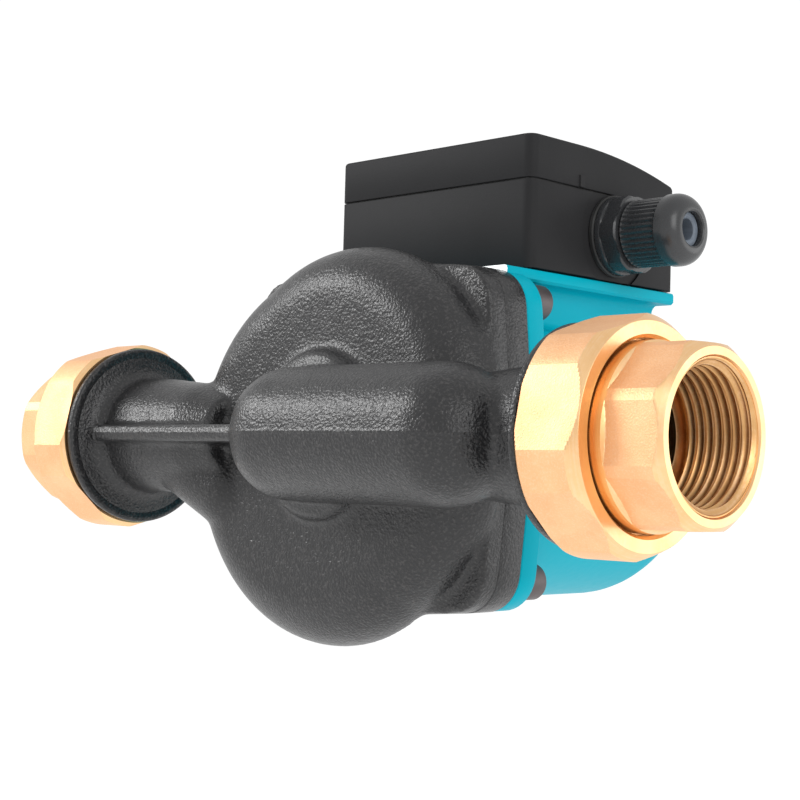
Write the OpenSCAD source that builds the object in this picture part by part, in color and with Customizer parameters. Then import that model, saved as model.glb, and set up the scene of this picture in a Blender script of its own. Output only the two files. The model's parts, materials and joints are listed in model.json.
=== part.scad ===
// In-line circulation pump with a wet rotor, two union couplings and a terminal box.
// Origin where the pipe's axis (X) and the motor's axis (Y) cross, +Y to the motor's rear, +Z up.

/* [Ports] */
// Distance between the two port faces
port_span_len = 180; // [172:1:200]
// Bore of the water passages in the ports
passage_d = 25; // [20:0.5:27]
// Outside diameter of the port threads, G 1 1/2
port_thread_d = 47.8; // [46:0.1:50]
// Length of the thread on a port
port_thread_len = 6.1; // [5:0.1:8]
// Diameter of the shoulder behind a port thread
shoulder_d = 51.2; // [50:0.1:54]
// Thickness of that shoulder
shoulder_t = 2.2; // [1.5:0.1:3]
// Outside diameter of the necks that carry the ports
neck_d = 32.8; // [31:0.1:36]

/* [Unions] */
// Thickness of the union gasket
union_gasket_t = 2.5; // [2:0.1:4]
// Outside diameter of the tailpiece's collar
collar_d = 44.6; // [43.4:0.1:46]
// Thickness of that collar
collar_t = 4.9; // [3:0.1:6]
// Outside diameter of the tailpiece's neck
tail_neck_d = 42; // [41:0.1:42.4]
// Length of the neck in front of the collar
tail_neck_len = 5.9; // [4.6:0.1:9]
// Width of the tailpiece across its eight flats
tail_flats = 39.7; // [38.6:0.1:41]
// Length of the flats
tail_flats_len = 14.4; // [12:0.1:20]
// Minor diameter of the pipe thread in the tailpiece, G 1
pipe_thread_d = 30.3; // [28:0.1:31]
// Length of that thread
pipe_thread_len = 19; // [14:0.5:21]
// Bore behind the thread
tail_bore_d = 27; // [25:0.5:28]
// Countersink at the mouth of the tailpiece
mouth_d = 34.5; // [33:0.1:36]
// Flat ring around the mouth
mouth_ring_d = 38.1; // [37:0.1:38.4]
// Width of the union nut across its flats
nut_flats = 51; // [50:0.1:54]
// Diameter over the nut's rounded corners
nut_corner_d = 54.4; // [54.2:0.1:58]
// Thickness of the lip that draws the tailpiece in
nut_lip_t = 3.6; // [3:0.1:4.4]
// Hole in that lip
nut_lip_d = 43; // [42.6:0.1:43.2]

/* [Volute] */
// Outside radius of the volute where the spiral starts
volute_r = 50.6; // [48:0.1:56]
// Outside radius of the volute's grown side
volute_far_r = 51; // [49:0.1:56]
// Shift of the grown side towards the outlet
volute_far_x = 7.3; // [3:0.1:9]
// Shift of the grown side downwards
volute_far_z = 4.6; // [2:0.1:6]
// Rounding of the volute's front edge
volute_round = 14; // [9:0.5:15]
// Distance of the volute's front face before the pipe's axis
volute_front = 4; // [2:0.1:6]
// Thickness of the casting
casting_wall = 5.4; // [4:0.1:6]
// Radius of the suction passage's outside
bulge_r = 17.2; // [16.4:0.1:19]
// Distance of the suction passage before the pipe's axis
bulge_y = 12.7; // [12:0.1:15]
// Length of the suction passage from the motor's axis
bulge_len = 53; // [50:0.5:60]
// Radius of the round boss around the impeller's eye
eye_boss_r = 22; // [20:0.1:25]
// Height of that boss over the volute's front
eye_boss_t = 4; // [2:0.1:5]
// Thickness of the fin between outlet and suction passage
fin_t = 4.6; // [3:0.1:6]
// Reach of the fin before the pipe's axis
fin_y = 21; // [18:0.1:23]

/* [Flange] */
// Distance of the joint face behind the pipe's axis
joint_y = 25; // [25:0.1:30]
// Thickness of the casting's flange
flange_t = 14; // [12:0.1:14]
// Radius of the flange at the middle of its sides
flange_r = 47; // [46:0.1:52]
// Place of each corner lobe, across and up
lobe_at = 33; // [31:0.1:36]
// Radius of a corner lobe
lobe_r = 11; // [10:0.1:13]
// Place of each flange screw, across and up
screw_at = 36.4; // [36.2:0.1:37.6]
// Diameter of the flange screws
screw_d = 6; // [5:0.5:6]

/* [Motor] */
// Thickness of the motor's front plate
plate_t = 6.8; // [6:0.1:9]
// Outside diameter of the motor's shell
shell_d = 87.8; // [86:0.1:90]
// Thickness of the shell
shell_wall = 3.9; // [3:0.1:4.4]
// Distance of the motor's rear face behind the pipe's axis
motor_rear_y = 111.2; // [109:0.1:120]
// Rounding of the motor's rear edge
rear_round = 12; // [8:0.5:15]
// Outside diameter of the rotor's can
can_d = 46.4; // [44:0.1:48]
// Thickness of the can
can_wall = 0.6; // [0.4:0.1:0.8]
// Gap between rotor and can
rotor_gap = 0.4; // [0.3:0.05:0.6]
// Length of the stator's laminations
stack_len = 40; // [30:0.5:42]
// Diameter of the rotor's shaft
shaft_d = 10; // [8:0.5:11]
// Diameter of the vent plug's thread
vent_thread_d = 16; // [14:0.5:17]
// Diameter of the vent plug's head
vent_head_d = 24; // [22:0.5:26]

/* [Impeller] */
// Diameter of the impeller
impeller_d = 66; // [60:0.5:70]
// Width of the water channel between the two discs
channel_w = 6.7; // [5:0.1:7]
// Thickness of the impeller's discs and blades
blade_t = 2; // [1.5:0.1:2.2]
// Number of blades
blades = 6; // [5:1:8]
// Inside radius of the impeller's eye
eye_r = 12; // [10:0.1:12.4]

/* [Terminal box] */
// Width of the terminal box along the pipe
box_w = 73.2; // [70:0.1:80]
// Depth of the terminal box along the motor
box_d = 65.5; // [62:0.1:72]
// Height of the box's base
base_h = 23.6; // [22:0.1:30]
// Height of the cover at its front
cover_h = 11.8; // [11:0.1:16]
// Radius of the cover's curved rear slope
cover_curve_r = 178; // [170:1:260]
// Thickness of the box's walls
box_wall = 2.2; // [1.8:0.1:2.6]
// Rounding of the box's upright edges
box_round = 3; // [2:0.1:4]
// Gap of the seam between base and cover
seam = 0.4; // [0.3:0.05:0.8]
// Distance of the box behind the motor's plate
box_gap = 2.7; // [1:0.1:4]
// Thickness of the shelf that carries the box
shelf_t = 3.4; // [3:0.1:4]
// Height of the shelf's top above the motor's axis
shelf_z = 45.2; // [45:0.1:50]
// Width of the shelf
shelf_w = 74.4; // [72:0.1:80]
// Diameter of the speed knob
knob_d = 22; // [18:0.5:22]
// Height of the speed knob
knob_t = 8; // [6:0.5:12]

/* [Cable gland] */
// Distance of the gland before the box's rear face
gland_in = 29; // [27:0.1:34]
// Diameter of the gland's thread through the wall
gland_thread_d = 16; // [15:0.1:16.5]
// Diameter of the gland's washer
gland_washer_d = 22.8; // [21:0.1:23]
// Length of the gland body's collar
gland_collar_len = 7.2; // [5:0.1:9]
// Diameter of the fluted grip
gland_grip_d = 18.6; // [17.6:0.1:20]
// Length of the fluted grip
gland_grip_len = 11.4; // [10:0.1:14]
// Diameter of the domed end
gland_dome_d = 19.6; // [19:0.1:21]
// Length of the domed end
gland_dome_len = 6.4; // [5.4:0.1:8]
// Opening in the domed end
gland_mouth_d = 9.2; // [8.8:0.1:10]
// Hole in the rubber seal
cable_hole_d = 5.8; // [4.4:0.1:6.2]

/* [Hidden] */
$fn = 96;

// Overrun of cuts past a face
over = 1;
// Radial clearance of threads and running fits
run = 0.06;
// Clearance between pieces that turn past each other
loose = 0.3;

// Places along the pipe
port_x = port_span_len / 2;
thread_x0 = port_x - port_thread_len;
shoulder_x0 = thread_x0 - shoulder_t;
collar_x0 = port_x + union_gasket_t;
lip_x0 = collar_x0 + collar_t;
lip_x1 = lip_x0 + nut_lip_t;
tail_flats_x0 = lip_x0 + tail_neck_len;
mouth_x = tail_flats_x0 + tail_flats_len;
nut_gap = 0.5;
neck_r = neck_d / 2;
neck_x0 = 38;
neck_root = 5;
neck_taper = 1.7;
neck_taper_len = 12;
neck_even_len = 14;
neck_cove_len = 4;
neck_cove_t = 1;
neck_cove_x = 1.4;
neck_cove_r = 3.6;
nut_x0 = thread_x0 + nut_gap;
nut_chamfer = 1.2;
tail_corner_r = tail_neck_d / 2;
tail_fade = 2.2;
mouth_sink = (mouth_d - pipe_thread_d) / 2;
nut_hole_chamfer = 0.8;
nut_cone = 2.4;
nut_face_in = 0.1;
gasket_in = 0.3;
gasket_hole = 2;

// Small sizes of the casting
edge_round = 0.2;
flange_sink = 1;
volute_rear_round = 3;
eye_boss_round = 2.5;
flare_out = 8;
flare_top = 6;
flare_low = 15;
flare_back = 3;
flare_thin = 4.9;
flare_r = neck_r - flare_thin;
chamber_rear = 2.6;
chamber_round = 3;
chamber_rear_round = 0.6;
pocket_in = 4;
eye_gap = 0.6;
ring_seat_in = 0.5;
ring_proud = 1.2;
suction_in = 3;
suction_bend = 12;
outlet_bend = 18;
cutwater_in = 4;
cutwater_low = 3;
cutwater_r = passage_d / 2 - cutwater_in;
screw_blind = 3;

// Places along the motor
wall_front_y = -volute_front;
chamber_in = 2.1;
chamber_y0 = wall_front_y + casting_wall + chamber_in;
flange_y0 = joint_y - flange_t;
register_in = 5;
register_gap = 0.1;
register_r = flange_r - register_in;
register_t = 4.7;
register_y0 = joint_y - register_t;
seal_d = 2.4;
plate_flange_t = 2.2;
can_r = can_d / 2;
can_in_r = can_r - can_wall;
can_flange_t = 0.8;
can_end_t = 1.6;
can_end_y = 98;
shell_r = shell_d / 2;
shell_in_r = shell_r - shell_wall;
rear_wall_t = 3.5;
rear_in_y = motor_rear_y - rear_wall_t;
stack_y0 = 40;
stack_y1 = stack_y0 + stack_len;
rotor_r = can_in_r - rotor_gap;
sleeve_t = 0.5;
end_ring_t = 4;
shaft_r = shaft_d / 2;
bush_t = 3;
bush_r = shaft_r + run + bush_t;
bush_wall = 1.2;
bush_len = 10;
front_bush_y0 = 20.5;
rear_bush_y0 = 86;
bush_cup_in = 1;
vent_slot_off = 5;
vent_slot_r = 2;
rotor_washer_t = 5;
vent_r = vent_thread_d / 2;
vent_boss_wall = 1;
vent_boss_r = vent_head_d / 2 + vent_boss_wall;
vent_head_t = 4.4;
vent_seal_t = 1.8;
vent_seal_w = 3;
vent_slot_w = 2;
vent_tip = 2;
vent_head_round = 1;
rating_t = 0.5;
rating_gap = 1;
winding_len = 8.5;
winding_in = 1.4;
winding_out = 3.4;
winding_round = 3;
plate_y1 = joint_y + plate_t;
screw_washer_t = 1.6;
screw_tip = 5;
screw_head_r = screw_d * 0.8;
screw_socket_r = screw_d * 0.45;

// Places of the impeller
shroud_gap = 3;
shroud_y0 = chamber_y0 + shroud_gap;
shroud_y1 = shroud_y0 + blade_t;
back_y0 = shroud_y1 + channel_w;
back_y1 = back_y0 + blade_t;
impeller_r = impeller_d / 2;
hub_wall = 3.4;
hub_r = shaft_r + hub_wall;
eye_wall = 1.8;
ring_wall = 2.6;
ring_in_r = eye_r + eye_wall + loose;
ring_out_r = ring_in_r + ring_wall;
passage_r = passage_d / 2;
suction_thin = 0.4;
suction_r = bulge_r - casting_wall + suction_thin;
ring_y0 = -bulge_y + suction_r + ring_seat_in;
impeller_gap = 5;
impeller_edge = 0.5;
hub_y = 2;
hub_proud = 1.6;
eye_neck_len = 2.4;
blade_root = 0.4;
blade_arc_share = 0.75;

// Places of the terminal box
box_y0 = plate_y1 + box_gap;
box_y1 = box_y0 + box_d;
seat_gasket_t = 0.5;
base_z0 = shelf_z + seat_gasket_t;
floor_t = 2.5;
floor_z = base_z0 + floor_t;
base_z1 = base_z0 + base_h;
cover_z0 = base_z1 + seam;
cover_z1 = cover_z0 + cover_h;
cover_flat_len = 20.5;
cover_curve_y = box_y0 + cover_flat_len;
shelf_short = 1.3;
shelf_y1 = box_y1 - shelf_short;
saddle_gap = 0.6;
saddle_w = 2 * (screw_at - screw_head_r - saddle_gap);
saddle_short = 2;
inner_round = 0.6;
seat_gasket_in = 3;
cover_gasket_in = 0.8;
cover_gasket_lap = 0.2;
post_r = 3.6;
post_inset = 6.2;
cover_screw_d = 3;
cover_screw_head_r = 2.9;
cover_screw_head_t = 2;
cover_screw_socket_r = 1;
cover_screw_depth = 8;
cover_screw_hole_len = 12;
cover_land_t = 2.6;
tab_w = 2.6;
tab_h = 3.4;
tab_t = 0.5;
switch_w = 22;
switch_len = 14;
switch_gap = 1.7;
box_screw_d = 4;
box_screw_len = 9;
box_screw_depth = 7;
box_screw_head_r = 3.6;
box_screw_head_t = 2.6;
box_screw_socket_r = 1.3;
box_screw_side = 3.2;
box_screw_x = box_w / 2 - post_inset - post_r - box_screw_head_r - box_screw_side;
box_screw_front = 7;
box_screw_rear = box_d - box_wall - switch_len - box_screw_head_r - switch_gap;
earth_len = 8;
earth_depth = 6;
earth_head_r = 4;
earth_head_t = 3;
earth_socket_r = 1.4;
earth_off = 8;
grommet_in = 30;
grommet_y = box_y0 + grommet_in;
grommet_len = 8;
lead_r = 1.1;
lead_step = 2.4;
lead_shift = 2;
lead_lap = 0.4;
lead_bend = 0.8;
block_share = 0.369;
block_w = box_w * block_share;
block_d = 11;
block_h = 11;
block_in = 17.8;
block_y = box_y0 + block_in;
pole_pitch = block_w / 3;
pole_screw_r = 2.4;
pole_slot_w = 0.8;
pole_slot_t = 2;
cap_r = 8.4;
cap_in = 11;
cap_screw_gap = 1.4;
cap_len = box_screw_rear - box_screw_head_r - cap_screw_gap - cap_in;
cap_gap = 0.4;
grommet_r = 6.5;
grommet_hole_r = 4.4;
knob_side = 9.4;
knob_x = box_wall + knob_side + knob_d / 2 - box_w / 2;
knob_round = 1;
knob_mark_w = 2;
knob_mark_t = 0.5;
knob_grip_share = 0.3;
knob_grip_len_share = 0.92;
knob_mark_share = 0.16;
knob_mark_len_share = 0.24;
knob_gap = 0.4;
stem_r = 4;
stem_in = 7;
switch_over = 8;
switch_slot_in = 4;
gland_up = 0.7;
gland_y = box_y1 - gland_in;
gland_z = base_z0 + base_h / 2 + gland_up;
knob_z = gland_z;
spotface_w = 3.4;
spotface_r = gland_washer_d / 2 + spotface_w;
spotface_t = 0.6;
gland_x0 = box_w / 2 - spotface_t;
gland_washer_t = 1.6;
gland_body_x0 = gland_x0 + gland_washer_t;
gland_grip_x0 = gland_body_x0 + gland_collar_len;
gland_dome_x0 = gland_grip_x0 + gland_grip_len;
gland_end_x = gland_dome_x0 + gland_dome_len;
gland_r = gland_thread_d / 2;
gland_neck_in = 0.5;
gland_neck_wall = 1.9;
gland_neck_r = gland_r - gland_neck_in;
gland_bore_r = gland_neck_r - gland_neck_wall;
gland_flange_in = 0.4;
gland_flange_t = 1.8;
gland_flange_r = gland_washer_d / 2 - gland_flange_in;
gland_stub = 1;
locknut_d = 22.72;
claw_len = 3.4;
claw_slot_w = 0.8;
claw_slot_d = 4;
seal_start = 0.1;
flute_r = 0.6;
flute_out = 0.25;
flute_end = 0.4;
dome_edge = 0.6;
locknut_t = 3.4;
claw_t = 0.7;
gland_seal_r = gland_neck_r - claw_t - 2 * loose;
gland_end_t = 1.8;
flutes = 38;

// Colours
iron = "#2b2b2d";
teal = "#00a8bf";
brass = "#e3b577";
black = "#1d1d1f";
steel = "#b9bcc0";
rubber = "#2a2a2a";

// Stands a piece on the motor's axis, with its own Z towards the rear
module on_motor(y = 0) {
    translate([0, y, 0]) rotate([-90, 0, 0]) children();
}

// Lays a piece on the pipe's axis, with its own Z towards the inlet
module on_pipe(x = 0) {
    translate([x, 0, 0]) rotate([0, 90, 0]) children();
}

module ring(r_out, r_in, h) {
    difference() {
        cylinder(r = r_out, h = h);
        translate([0, 0, -over]) cylinder(r = r_in, h = h + 2 * over);
    }
}

// A round bar between two points, with round ends
module bar(p, q, r) {
    d = q - p;
    len = norm(d);
    flat = norm([d[0], d[1]]);
    translate(p) rotate([0, atan2(flat, d[2]), atan2(d[1], d[0])]) rotate_extrude() intersection() {
        union() {
            circle(r = r);
            translate([0, len]) circle(r = r);
            square([r, len]);
        }
        translate([0, -r]) square([r, len + 2 * r]);
    }
}

module rounded_rect(w, d, r) {
    square([w - 2 * r, d], center = true);
    square([w, d - 2 * r], center = true);
    for (x = [-1, 1], y = [-1, 1]) translate([x * (w / 2 - r), y * (d / 2 - r)]) circle(r = r);
}

// Half section of a disc whose front edge is rounded by r0 and rear edge by r1
module disc_section(r, h, r0, r1) {
    intersection() {
        union() {
            square([r - max(r0, r1), h]);
            translate([0, r0]) square([r, h - r0 - r1]);
            translate([r - r0, r0]) circle(r = r0);
            translate([r - r1, h - r1]) circle(r = r1);
            translate([0, r0]) square([r - r1, h - r0]);
        }
        square([r, h]);
    }
}

module disc(r, h, r0, r1) {
    rotate_extrude() disc_section(r, h, r0, r1);
}

// Outline of the flange: a circle drawn out to four corner lobes by tangents
module flange_outline() {
    reach = lobe_at * sqrt(2);
    lean = acos((flange_r - lobe_r) / reach);
    circle(r = flange_r);
    for (k = [0:3]) rotate(45 + 90 * k) {
        translate([reach, 0]) circle(r = lobe_r);
        polygon([
            [0, 0],
            [flange_r * cos(lean), flange_r * sin(lean)],
            [reach + lobe_r * cos(lean), lobe_r * sin(lean)],
            [reach + lobe_r * cos(lean), -lobe_r * sin(lean)],
            [flange_r * cos(lean), -flange_r * sin(lean)]
        ]);
    }
}

module at_screws() {
    for (x = [-1, 1], z = [-1, 1]) translate([x * screw_at, 0, z * screw_at]) children();
}

// The volute's outside, or its chamber when grown by a negative amount
module volute(y0, y1, grow, r0, r1) {
    on_motor(y0) disc(volute_r + grow, y1 - y0, r0, r1);
    translate([-volute_far_x, 0, -volute_far_z])
        on_motor(y0) disc(volute_far_r + grow, y1 - y0, r0, r1);
}

// Neck, shoulder and thread of a port, turned in one piece from inside the volute outwards
module port_outside() {
    on_pipe() rotate_extrude() polygon([
        [0, neck_x0],
        [neck_r - neck_root, neck_x0],
        [neck_r - neck_taper, neck_x0 + neck_taper_len],
        [neck_r, shoulder_x0 - neck_even_len],
        [neck_r, shoulder_x0 - neck_cove_len],
        [neck_r + neck_cove_t, shoulder_x0 - neck_cove_x],
        [neck_r + neck_cove_r, shoulder_x0],
        [shoulder_d / 2, shoulder_x0],
        [shoulder_d / 2, thread_x0],
        [port_thread_d / 2, thread_x0],
        [port_thread_d / 2, port_x],
        [0, port_x]
    ]);
}

module pump_housing() {
    color(iron) difference() {
        union() {
            volute(wall_front_y, flange_y0 + flange_sink, 0, volute_round, volute_rear_round);
            on_motor(flange_y0) linear_extrude(flange_t) flange_outline();
            on_motor(wall_front_y - eye_boss_t) 
                disc(eye_boss_r, eye_boss_t + over, eye_boss_round, edge_round);
            bar([0, -bulge_y, 0], [bulge_len, -bulge_y, 0], bulge_r);
            port_outside();
            mirror([1, 0, 0]) port_outside();
            bar([-volute_r - flare_out, 0, -flare_top],
                [flare_out - volute_r, flare_back, -flare_low], flare_r);
            translate([0, 0, -fin_t / 2]) linear_extrude(fin_t) polygon([
                [-shoulder_x0 - shoulder_t / 2, 0],
                [-shoulder_x0 - shoulder_t / 2, -fin_y],
                [-bulge_r / 2, -fin_y],
                [0, -bulge_y],
                [-volute_r / 2, 0]
            ]);
        }
        volute(chamber_y0, flange_y0 - chamber_rear, -casting_wall, chamber_round, chamber_rear_round);
        on_motor(chamber_y0 + pocket_in) cylinder(r = impeller_r + impeller_gap, h = joint_y);
        on_motor(register_y0) cylinder(r = register_r, h = joint_y);
        on_motor(-bulge_y) cylinder(r = eye_r + eye_gap, h = bulge_y + joint_y);
        on_motor(ring_y0) cylinder(r = ring_out_r, h = chamber_y0 + over - ring_y0);
        bar([0, -bulge_y, 0], [bulge_len - suction_in, -bulge_y, 0], suction_r);
        bar([bulge_len - suction_in, -bulge_y, 0], [shoulder_x0 - suction_bend, 0, 0], suction_r);
        on_pipe(shoulder_x0 - suction_bend) cylinder(r = passage_r, h = port_x);
        mirror([1, 0, 0]) on_pipe(shoulder_x0 - outlet_bend) cylinder(r = passage_r, h = port_x);
        bar([outlet_bend - shoulder_x0, 0, 0],
            [cutwater_in - volute_r, cutwater_in, -cutwater_low], cutwater_r);
        at_screws() on_motor(flange_y0 + screw_blind) cylinder(r = screw_d / 2 + run, h = joint_y);
    }
}

module wear_ring() {
    color(steel) on_motor(ring_y0) ring(ring_out_r, ring_in_r, chamber_y0 + ring_proud - ring_y0);
}

module housing_seal() {
    color(rubber) on_motor(register_y0 + seal_d / 2 + run)
        rotate_extrude() translate([register_r - seal_d / 2 - register_gap, 0]) circle(d = seal_d);
}

module bearing_plate() {
    plate_y0 = joint_y - plate_flange_t;
    color(steel) difference() {
        union() {
            on_motor(plate_y0) cylinder(r = register_r - register_gap, h = plate_flange_t);
            on_motor(front_bush_y0) cylinder(r = bush_r + bush_wall, h = bush_len);
        }
        on_motor(front_bush_y0 - over) cylinder(r = bush_r, h = bush_len + 2 * over);
        for (a = [45:90:315]) rotate([0, a, 0])
            translate([bush_r + bush_wall + vent_slot_off, 0, 0]) on_motor(plate_y0 - over)
                cylinder(r = vent_slot_r, h = plate_flange_t + 2 * over);
    }
}

module bush(y) {
    color("#3a3a3e") on_motor(y) ring(bush_r, shaft_r + run, bush_len);
}

module front_bearing() {
    bush(front_bush_y0);
}

module rear_bearing() {
    bush(rear_bush_y0);
}

module rotor_can() {
    cup_y0 = rear_bush_y0 - bush_cup_in;
    color(steel) difference() {
        union() {
            on_motor(joint_y) cylinder(r = register_r - register_gap, h = can_flange_t);
            on_motor(joint_y) cylinder(r = can_r, h = can_end_y - joint_y);
            on_motor(can_end_y - over) cylinder(r = vent_boss_r, h = rear_in_y - can_end_y + over);
        }
        difference() {
            on_motor(joint_y - over) cylinder(r = can_in_r, h = can_end_y - can_end_t - joint_y + over);
            on_motor(cup_y0) cylinder(r = bush_r + bush_wall, h = can_end_y - cup_y0);
        }
        on_motor(cup_y0 - over) cylinder(r = bush_r, h = can_end_y - cup_y0);
        on_motor(can_end_y - can_end_t) cylinder(r = vent_r + run, h = motor_rear_y);
    }
}

module motor_housing() {
    color(teal) difference() {
        union() {
            on_motor(joint_y) linear_extrude(plate_t) flange_outline();
            on_motor(joint_y) disc(shell_r, motor_rear_y - joint_y, edge_round, rear_round);
            translate([-saddle_w / 2, joint_y, 0])
                cube([saddle_w, shelf_y1 - joint_y - saddle_short, shelf_z - shelf_t / 2]);
            translate([-shelf_w / 2, joint_y, shelf_z - shelf_t])
                cube([shelf_w, shelf_y1 - joint_y, shelf_t]);
        }
        on_motor(joint_y - over)
            disc(shell_in_r, rear_in_y - joint_y + over, edge_round, rear_round - shell_wall);
        on_motor(joint_y - over) cylinder(r = register_r, h = can_flange_t + over);
        on_motor(rear_in_y - over) cylinder(r = vent_r + loose, h = rear_wall_t + 2 * over);
        at_screws() on_motor(joint_y - over) cylinder(r = screw_d / 2 + loose, h = plate_t + 2 * over);
        translate([0, grommet_y, 0]) cylinder(r = grommet_r, h = shelf_z + over);
        at_box_screws() cylinder(r = box_screw_d / 2 + run, h = shelf_z);
        translate([0, 0, shelf_z - earth_depth]) at_earth()
            cylinder(r = box_screw_d / 2 + run, h = shelf_z);
    }
}

module at_box_screws() {
    for (x = [-1, 1], y = [box_y0 + box_screw_front, box_y0 + box_screw_rear])
        translate([x * box_screw_x, y, shelf_z - box_screw_depth]) children();
}

module at_earth() {
    translate([box_screw_x - earth_off, box_y0 + earth_off, 0]) children();
}

module stator_core() {
    color("#8b8f94") on_motor(stack_y0) ring(shell_in_r, can_r + run, stack_len);
}

module stator_winding() {
    w_in = can_r + winding_in;
    w_out = shell_in_r - winding_out;
    for (y = [stack_y0 - winding_len, stack_y1]) color("#b5683a") on_motor(y) rotate_extrude()
        translate([(w_in + w_out) / 2, winding_len / 2])
            rounded_rect(w_out - w_in, winding_len, winding_round);
}

module screw(d, len, head_r, head_h, socket_r) {
    difference() {
        union() {
            translate([0, 0, -len]) cylinder(r = d / 2, h = len);
            cylinder(r = head_r, h = head_h);
        }
        translate([0, 0, head_h / 2]) cylinder(r = socket_r, h = head_h, $fn = 6);
    }
}

module motor_screws() {
    color("#4a4346") at_screws() on_motor(plate_y1 + screw_washer_t)
        screw(screw_d, plate_t + screw_washer_t + flange_t - screw_tip, screw_head_r, screw_d,
            screw_socket_r);
}

module motor_screw_washers() {
    color("#5a5558") at_screws() on_motor(plate_y1) 
        ring(screw_head_r, screw_d / 2 + run, screw_washer_t);
}

module vent_plug() {
    y0 = motor_rear_y + vent_seal_t;
    tip_y = can_end_y + vent_tip;
    color(brass) difference() {
        union() {
            on_motor(tip_y) cylinder(r = vent_r, h = y0 + over - tip_y);
            on_motor(y0) disc(vent_head_d / 2, vent_head_t, edge_round, vent_head_round);
        }
        translate([0, y0 + vent_head_t, 0])
            cube([vent_head_d + over, vent_head_t, vent_slot_w], center = true);
    }
}

module vent_plug_seal() {
    color(rubber) on_motor(motor_rear_y) ring(vent_r + vent_seal_w, vent_r + run, vent_seal_t);
}

module rating_plate() {
    color("#c9ccd0") on_motor(motor_rear_y) 
        ring(shell_r - rear_round - rating_gap, vent_head_d / 2 + 2 * rating_gap, rating_t);
}

module box_outline(inset) {
    translate([0, (box_y0 + box_y1) / 2])
        rounded_rect(box_w - 2 * inset, box_d - 2 * inset, max(box_round - inset, inner_round));
}

module box_seat_gasket() {
    color(rubber) translate([0, 0, shelf_z]) difference() {
        linear_extrude(seat_gasket_t) box_outline(seat_gasket_in);
        translate([0, grommet_y, -over]) cylinder(r = grommet_r, h = shelf_t);
        translate([0, 0, -over]) at_earth() cylinder(r = box_screw_d / 2 + run, h = shelf_t);
        translate([0, 0, -shelf_z]) at_box_screws()
            cylinder(r = box_screw_d / 2 + run, h = box_screw_depth + shelf_t);
    }
}

module at_posts() {
    for (x = [-1, 1], y = [box_y0 + post_inset, box_y1 - post_inset])
        translate([x * (box_w / 2 - post_inset), y, 0]) children();
}

module terminal_box_base() {
    color(black) difference() {
        union() {
            translate([0, 0, base_z0]) linear_extrude(base_h) difference() {
                box_outline(0);
                box_outline(box_wall);
            }
            translate([0, 0, base_z0]) linear_extrude(floor_t) box_outline(box_wall / 2);
            translate([0, 0, base_z0]) at_posts() cylinder(r = post_r, h = base_h);
        }
        at_posts() translate([0, 0, base_z1 - cover_screw_hole_len])
            cylinder(r = cover_screw_d / 2 + run, h = base_h);
        translate([0, grommet_y, base_z0 - over]) cylinder(r = grommet_r, h = floor_t + 2 * over);
        at_box_screws() cylinder(r = box_screw_d / 2 + run, h = base_h);
        translate([0, 0, base_z0 - over]) at_earth()
            cylinder(r = box_screw_d / 2 + run, h = floor_t + 2 * over);
        translate([0, gland_y, gland_z]) on_pipe() cylinder(r = gland_r + run, h = box_w);
        translate([gland_x0, gland_y, gland_z]) on_pipe() cylinder(r = spotface_r, h = over);
        translate([knob_x, box_y1 - 2 * box_wall, knob_z]) on_motor()
            cylinder(r = stem_r, h = 3 * box_wall);
    }
}

module cover_gasket() {
    color(rubber) translate([0, 0, base_z1]) linear_extrude(seam) difference() {
        box_outline(cover_gasket_in);
        box_outline(box_wall - cover_gasket_lap);
    }
}

// Room below the cover's curved top, lowered by drop
module under_curve(drop) {
    span = box_d + box_y0;
    union() {
        translate([-box_w, 0, 0]) cube([2 * box_w, cover_curve_y, cover_z1 - drop]);
        intersection() {
            translate([-box_w, cover_curve_y, cover_z1 - cover_curve_r]) rotate([0, 90, 0])
                cylinder(r = cover_curve_r - drop, h = 2 * box_w, $fn = 360);
            translate([-box_w, cover_curve_y, 0]) cube([2 * box_w, span, cover_z1]);
        }
    }
}

module terminal_box_cover() {
    color(black) difference() {
        union() {
            intersection() {
                translate([0, 0, cover_z0]) linear_extrude(cover_h) box_outline(0);
                under_curve(0);
            }
            translate([box_w / 2 - over, cover_curve_y - tab_w / 4, cover_z0])
                cube([tab_t + over, tab_w, tab_h]);
        }
        difference() {
            intersection() {
                translate([0, 0, cover_z0 - over]) linear_extrude(cover_h) box_outline(box_wall);
                under_curve(box_wall);
            }
            at_posts() translate([0, 0, cover_z0]) cylinder(r = post_r, h = cover_h);
        }
        at_posts() translate([0, 0, cover_z0 - over])
            cylinder(r = cover_screw_d / 2 + run, h = cover_h + 2 * over);
        at_posts() translate([0, 0, cover_z0 + cover_land_t])
            cylinder(r = cover_screw_head_r + loose, h = cover_h);
    }
}

module cover_screws() {
    color(steel) at_posts() translate([0, 0, cover_z0 + cover_land_t])
        screw(cover_screw_d, cover_land_t + cover_screw_depth, cover_screw_head_r, cover_screw_head_t,
            cover_screw_socket_r);
}

module box_screws() {
    color(steel) at_box_screws() translate([0, 0, box_screw_depth + seat_gasket_t + floor_t])
        screw(box_screw_d, box_screw_len, box_screw_head_r, box_screw_head_t, box_screw_socket_r);
}

module earth_screw() {
    color(brass) at_earth() translate([0, 0, floor_z])
        screw(box_screw_d, earth_len, earth_head_r, earth_head_t, earth_socket_r);
}

module at_poles() {
    for (k = [-1:1]) translate([box_w / 4 - block_w / 2 + k * pole_pitch, block_y, 0]) children();
}

module terminal_block() {
    color("#d8d8d4") difference() {
        translate([box_w / 4 - block_w, block_y - block_d / 2, floor_z])
            cube([block_w, block_d, block_h]);
        at_poles() translate([0, 0, floor_z + block_h / 3]) cylinder(r = pole_screw_r + loose, h = block_h);
        at_poles() translate([0, 0, floor_z + block_h / 3]) rotate([90, 0, 0])
            cylinder(r = 2 * lead_r, h = 2 * block_d, center = true);
    }
}

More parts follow.
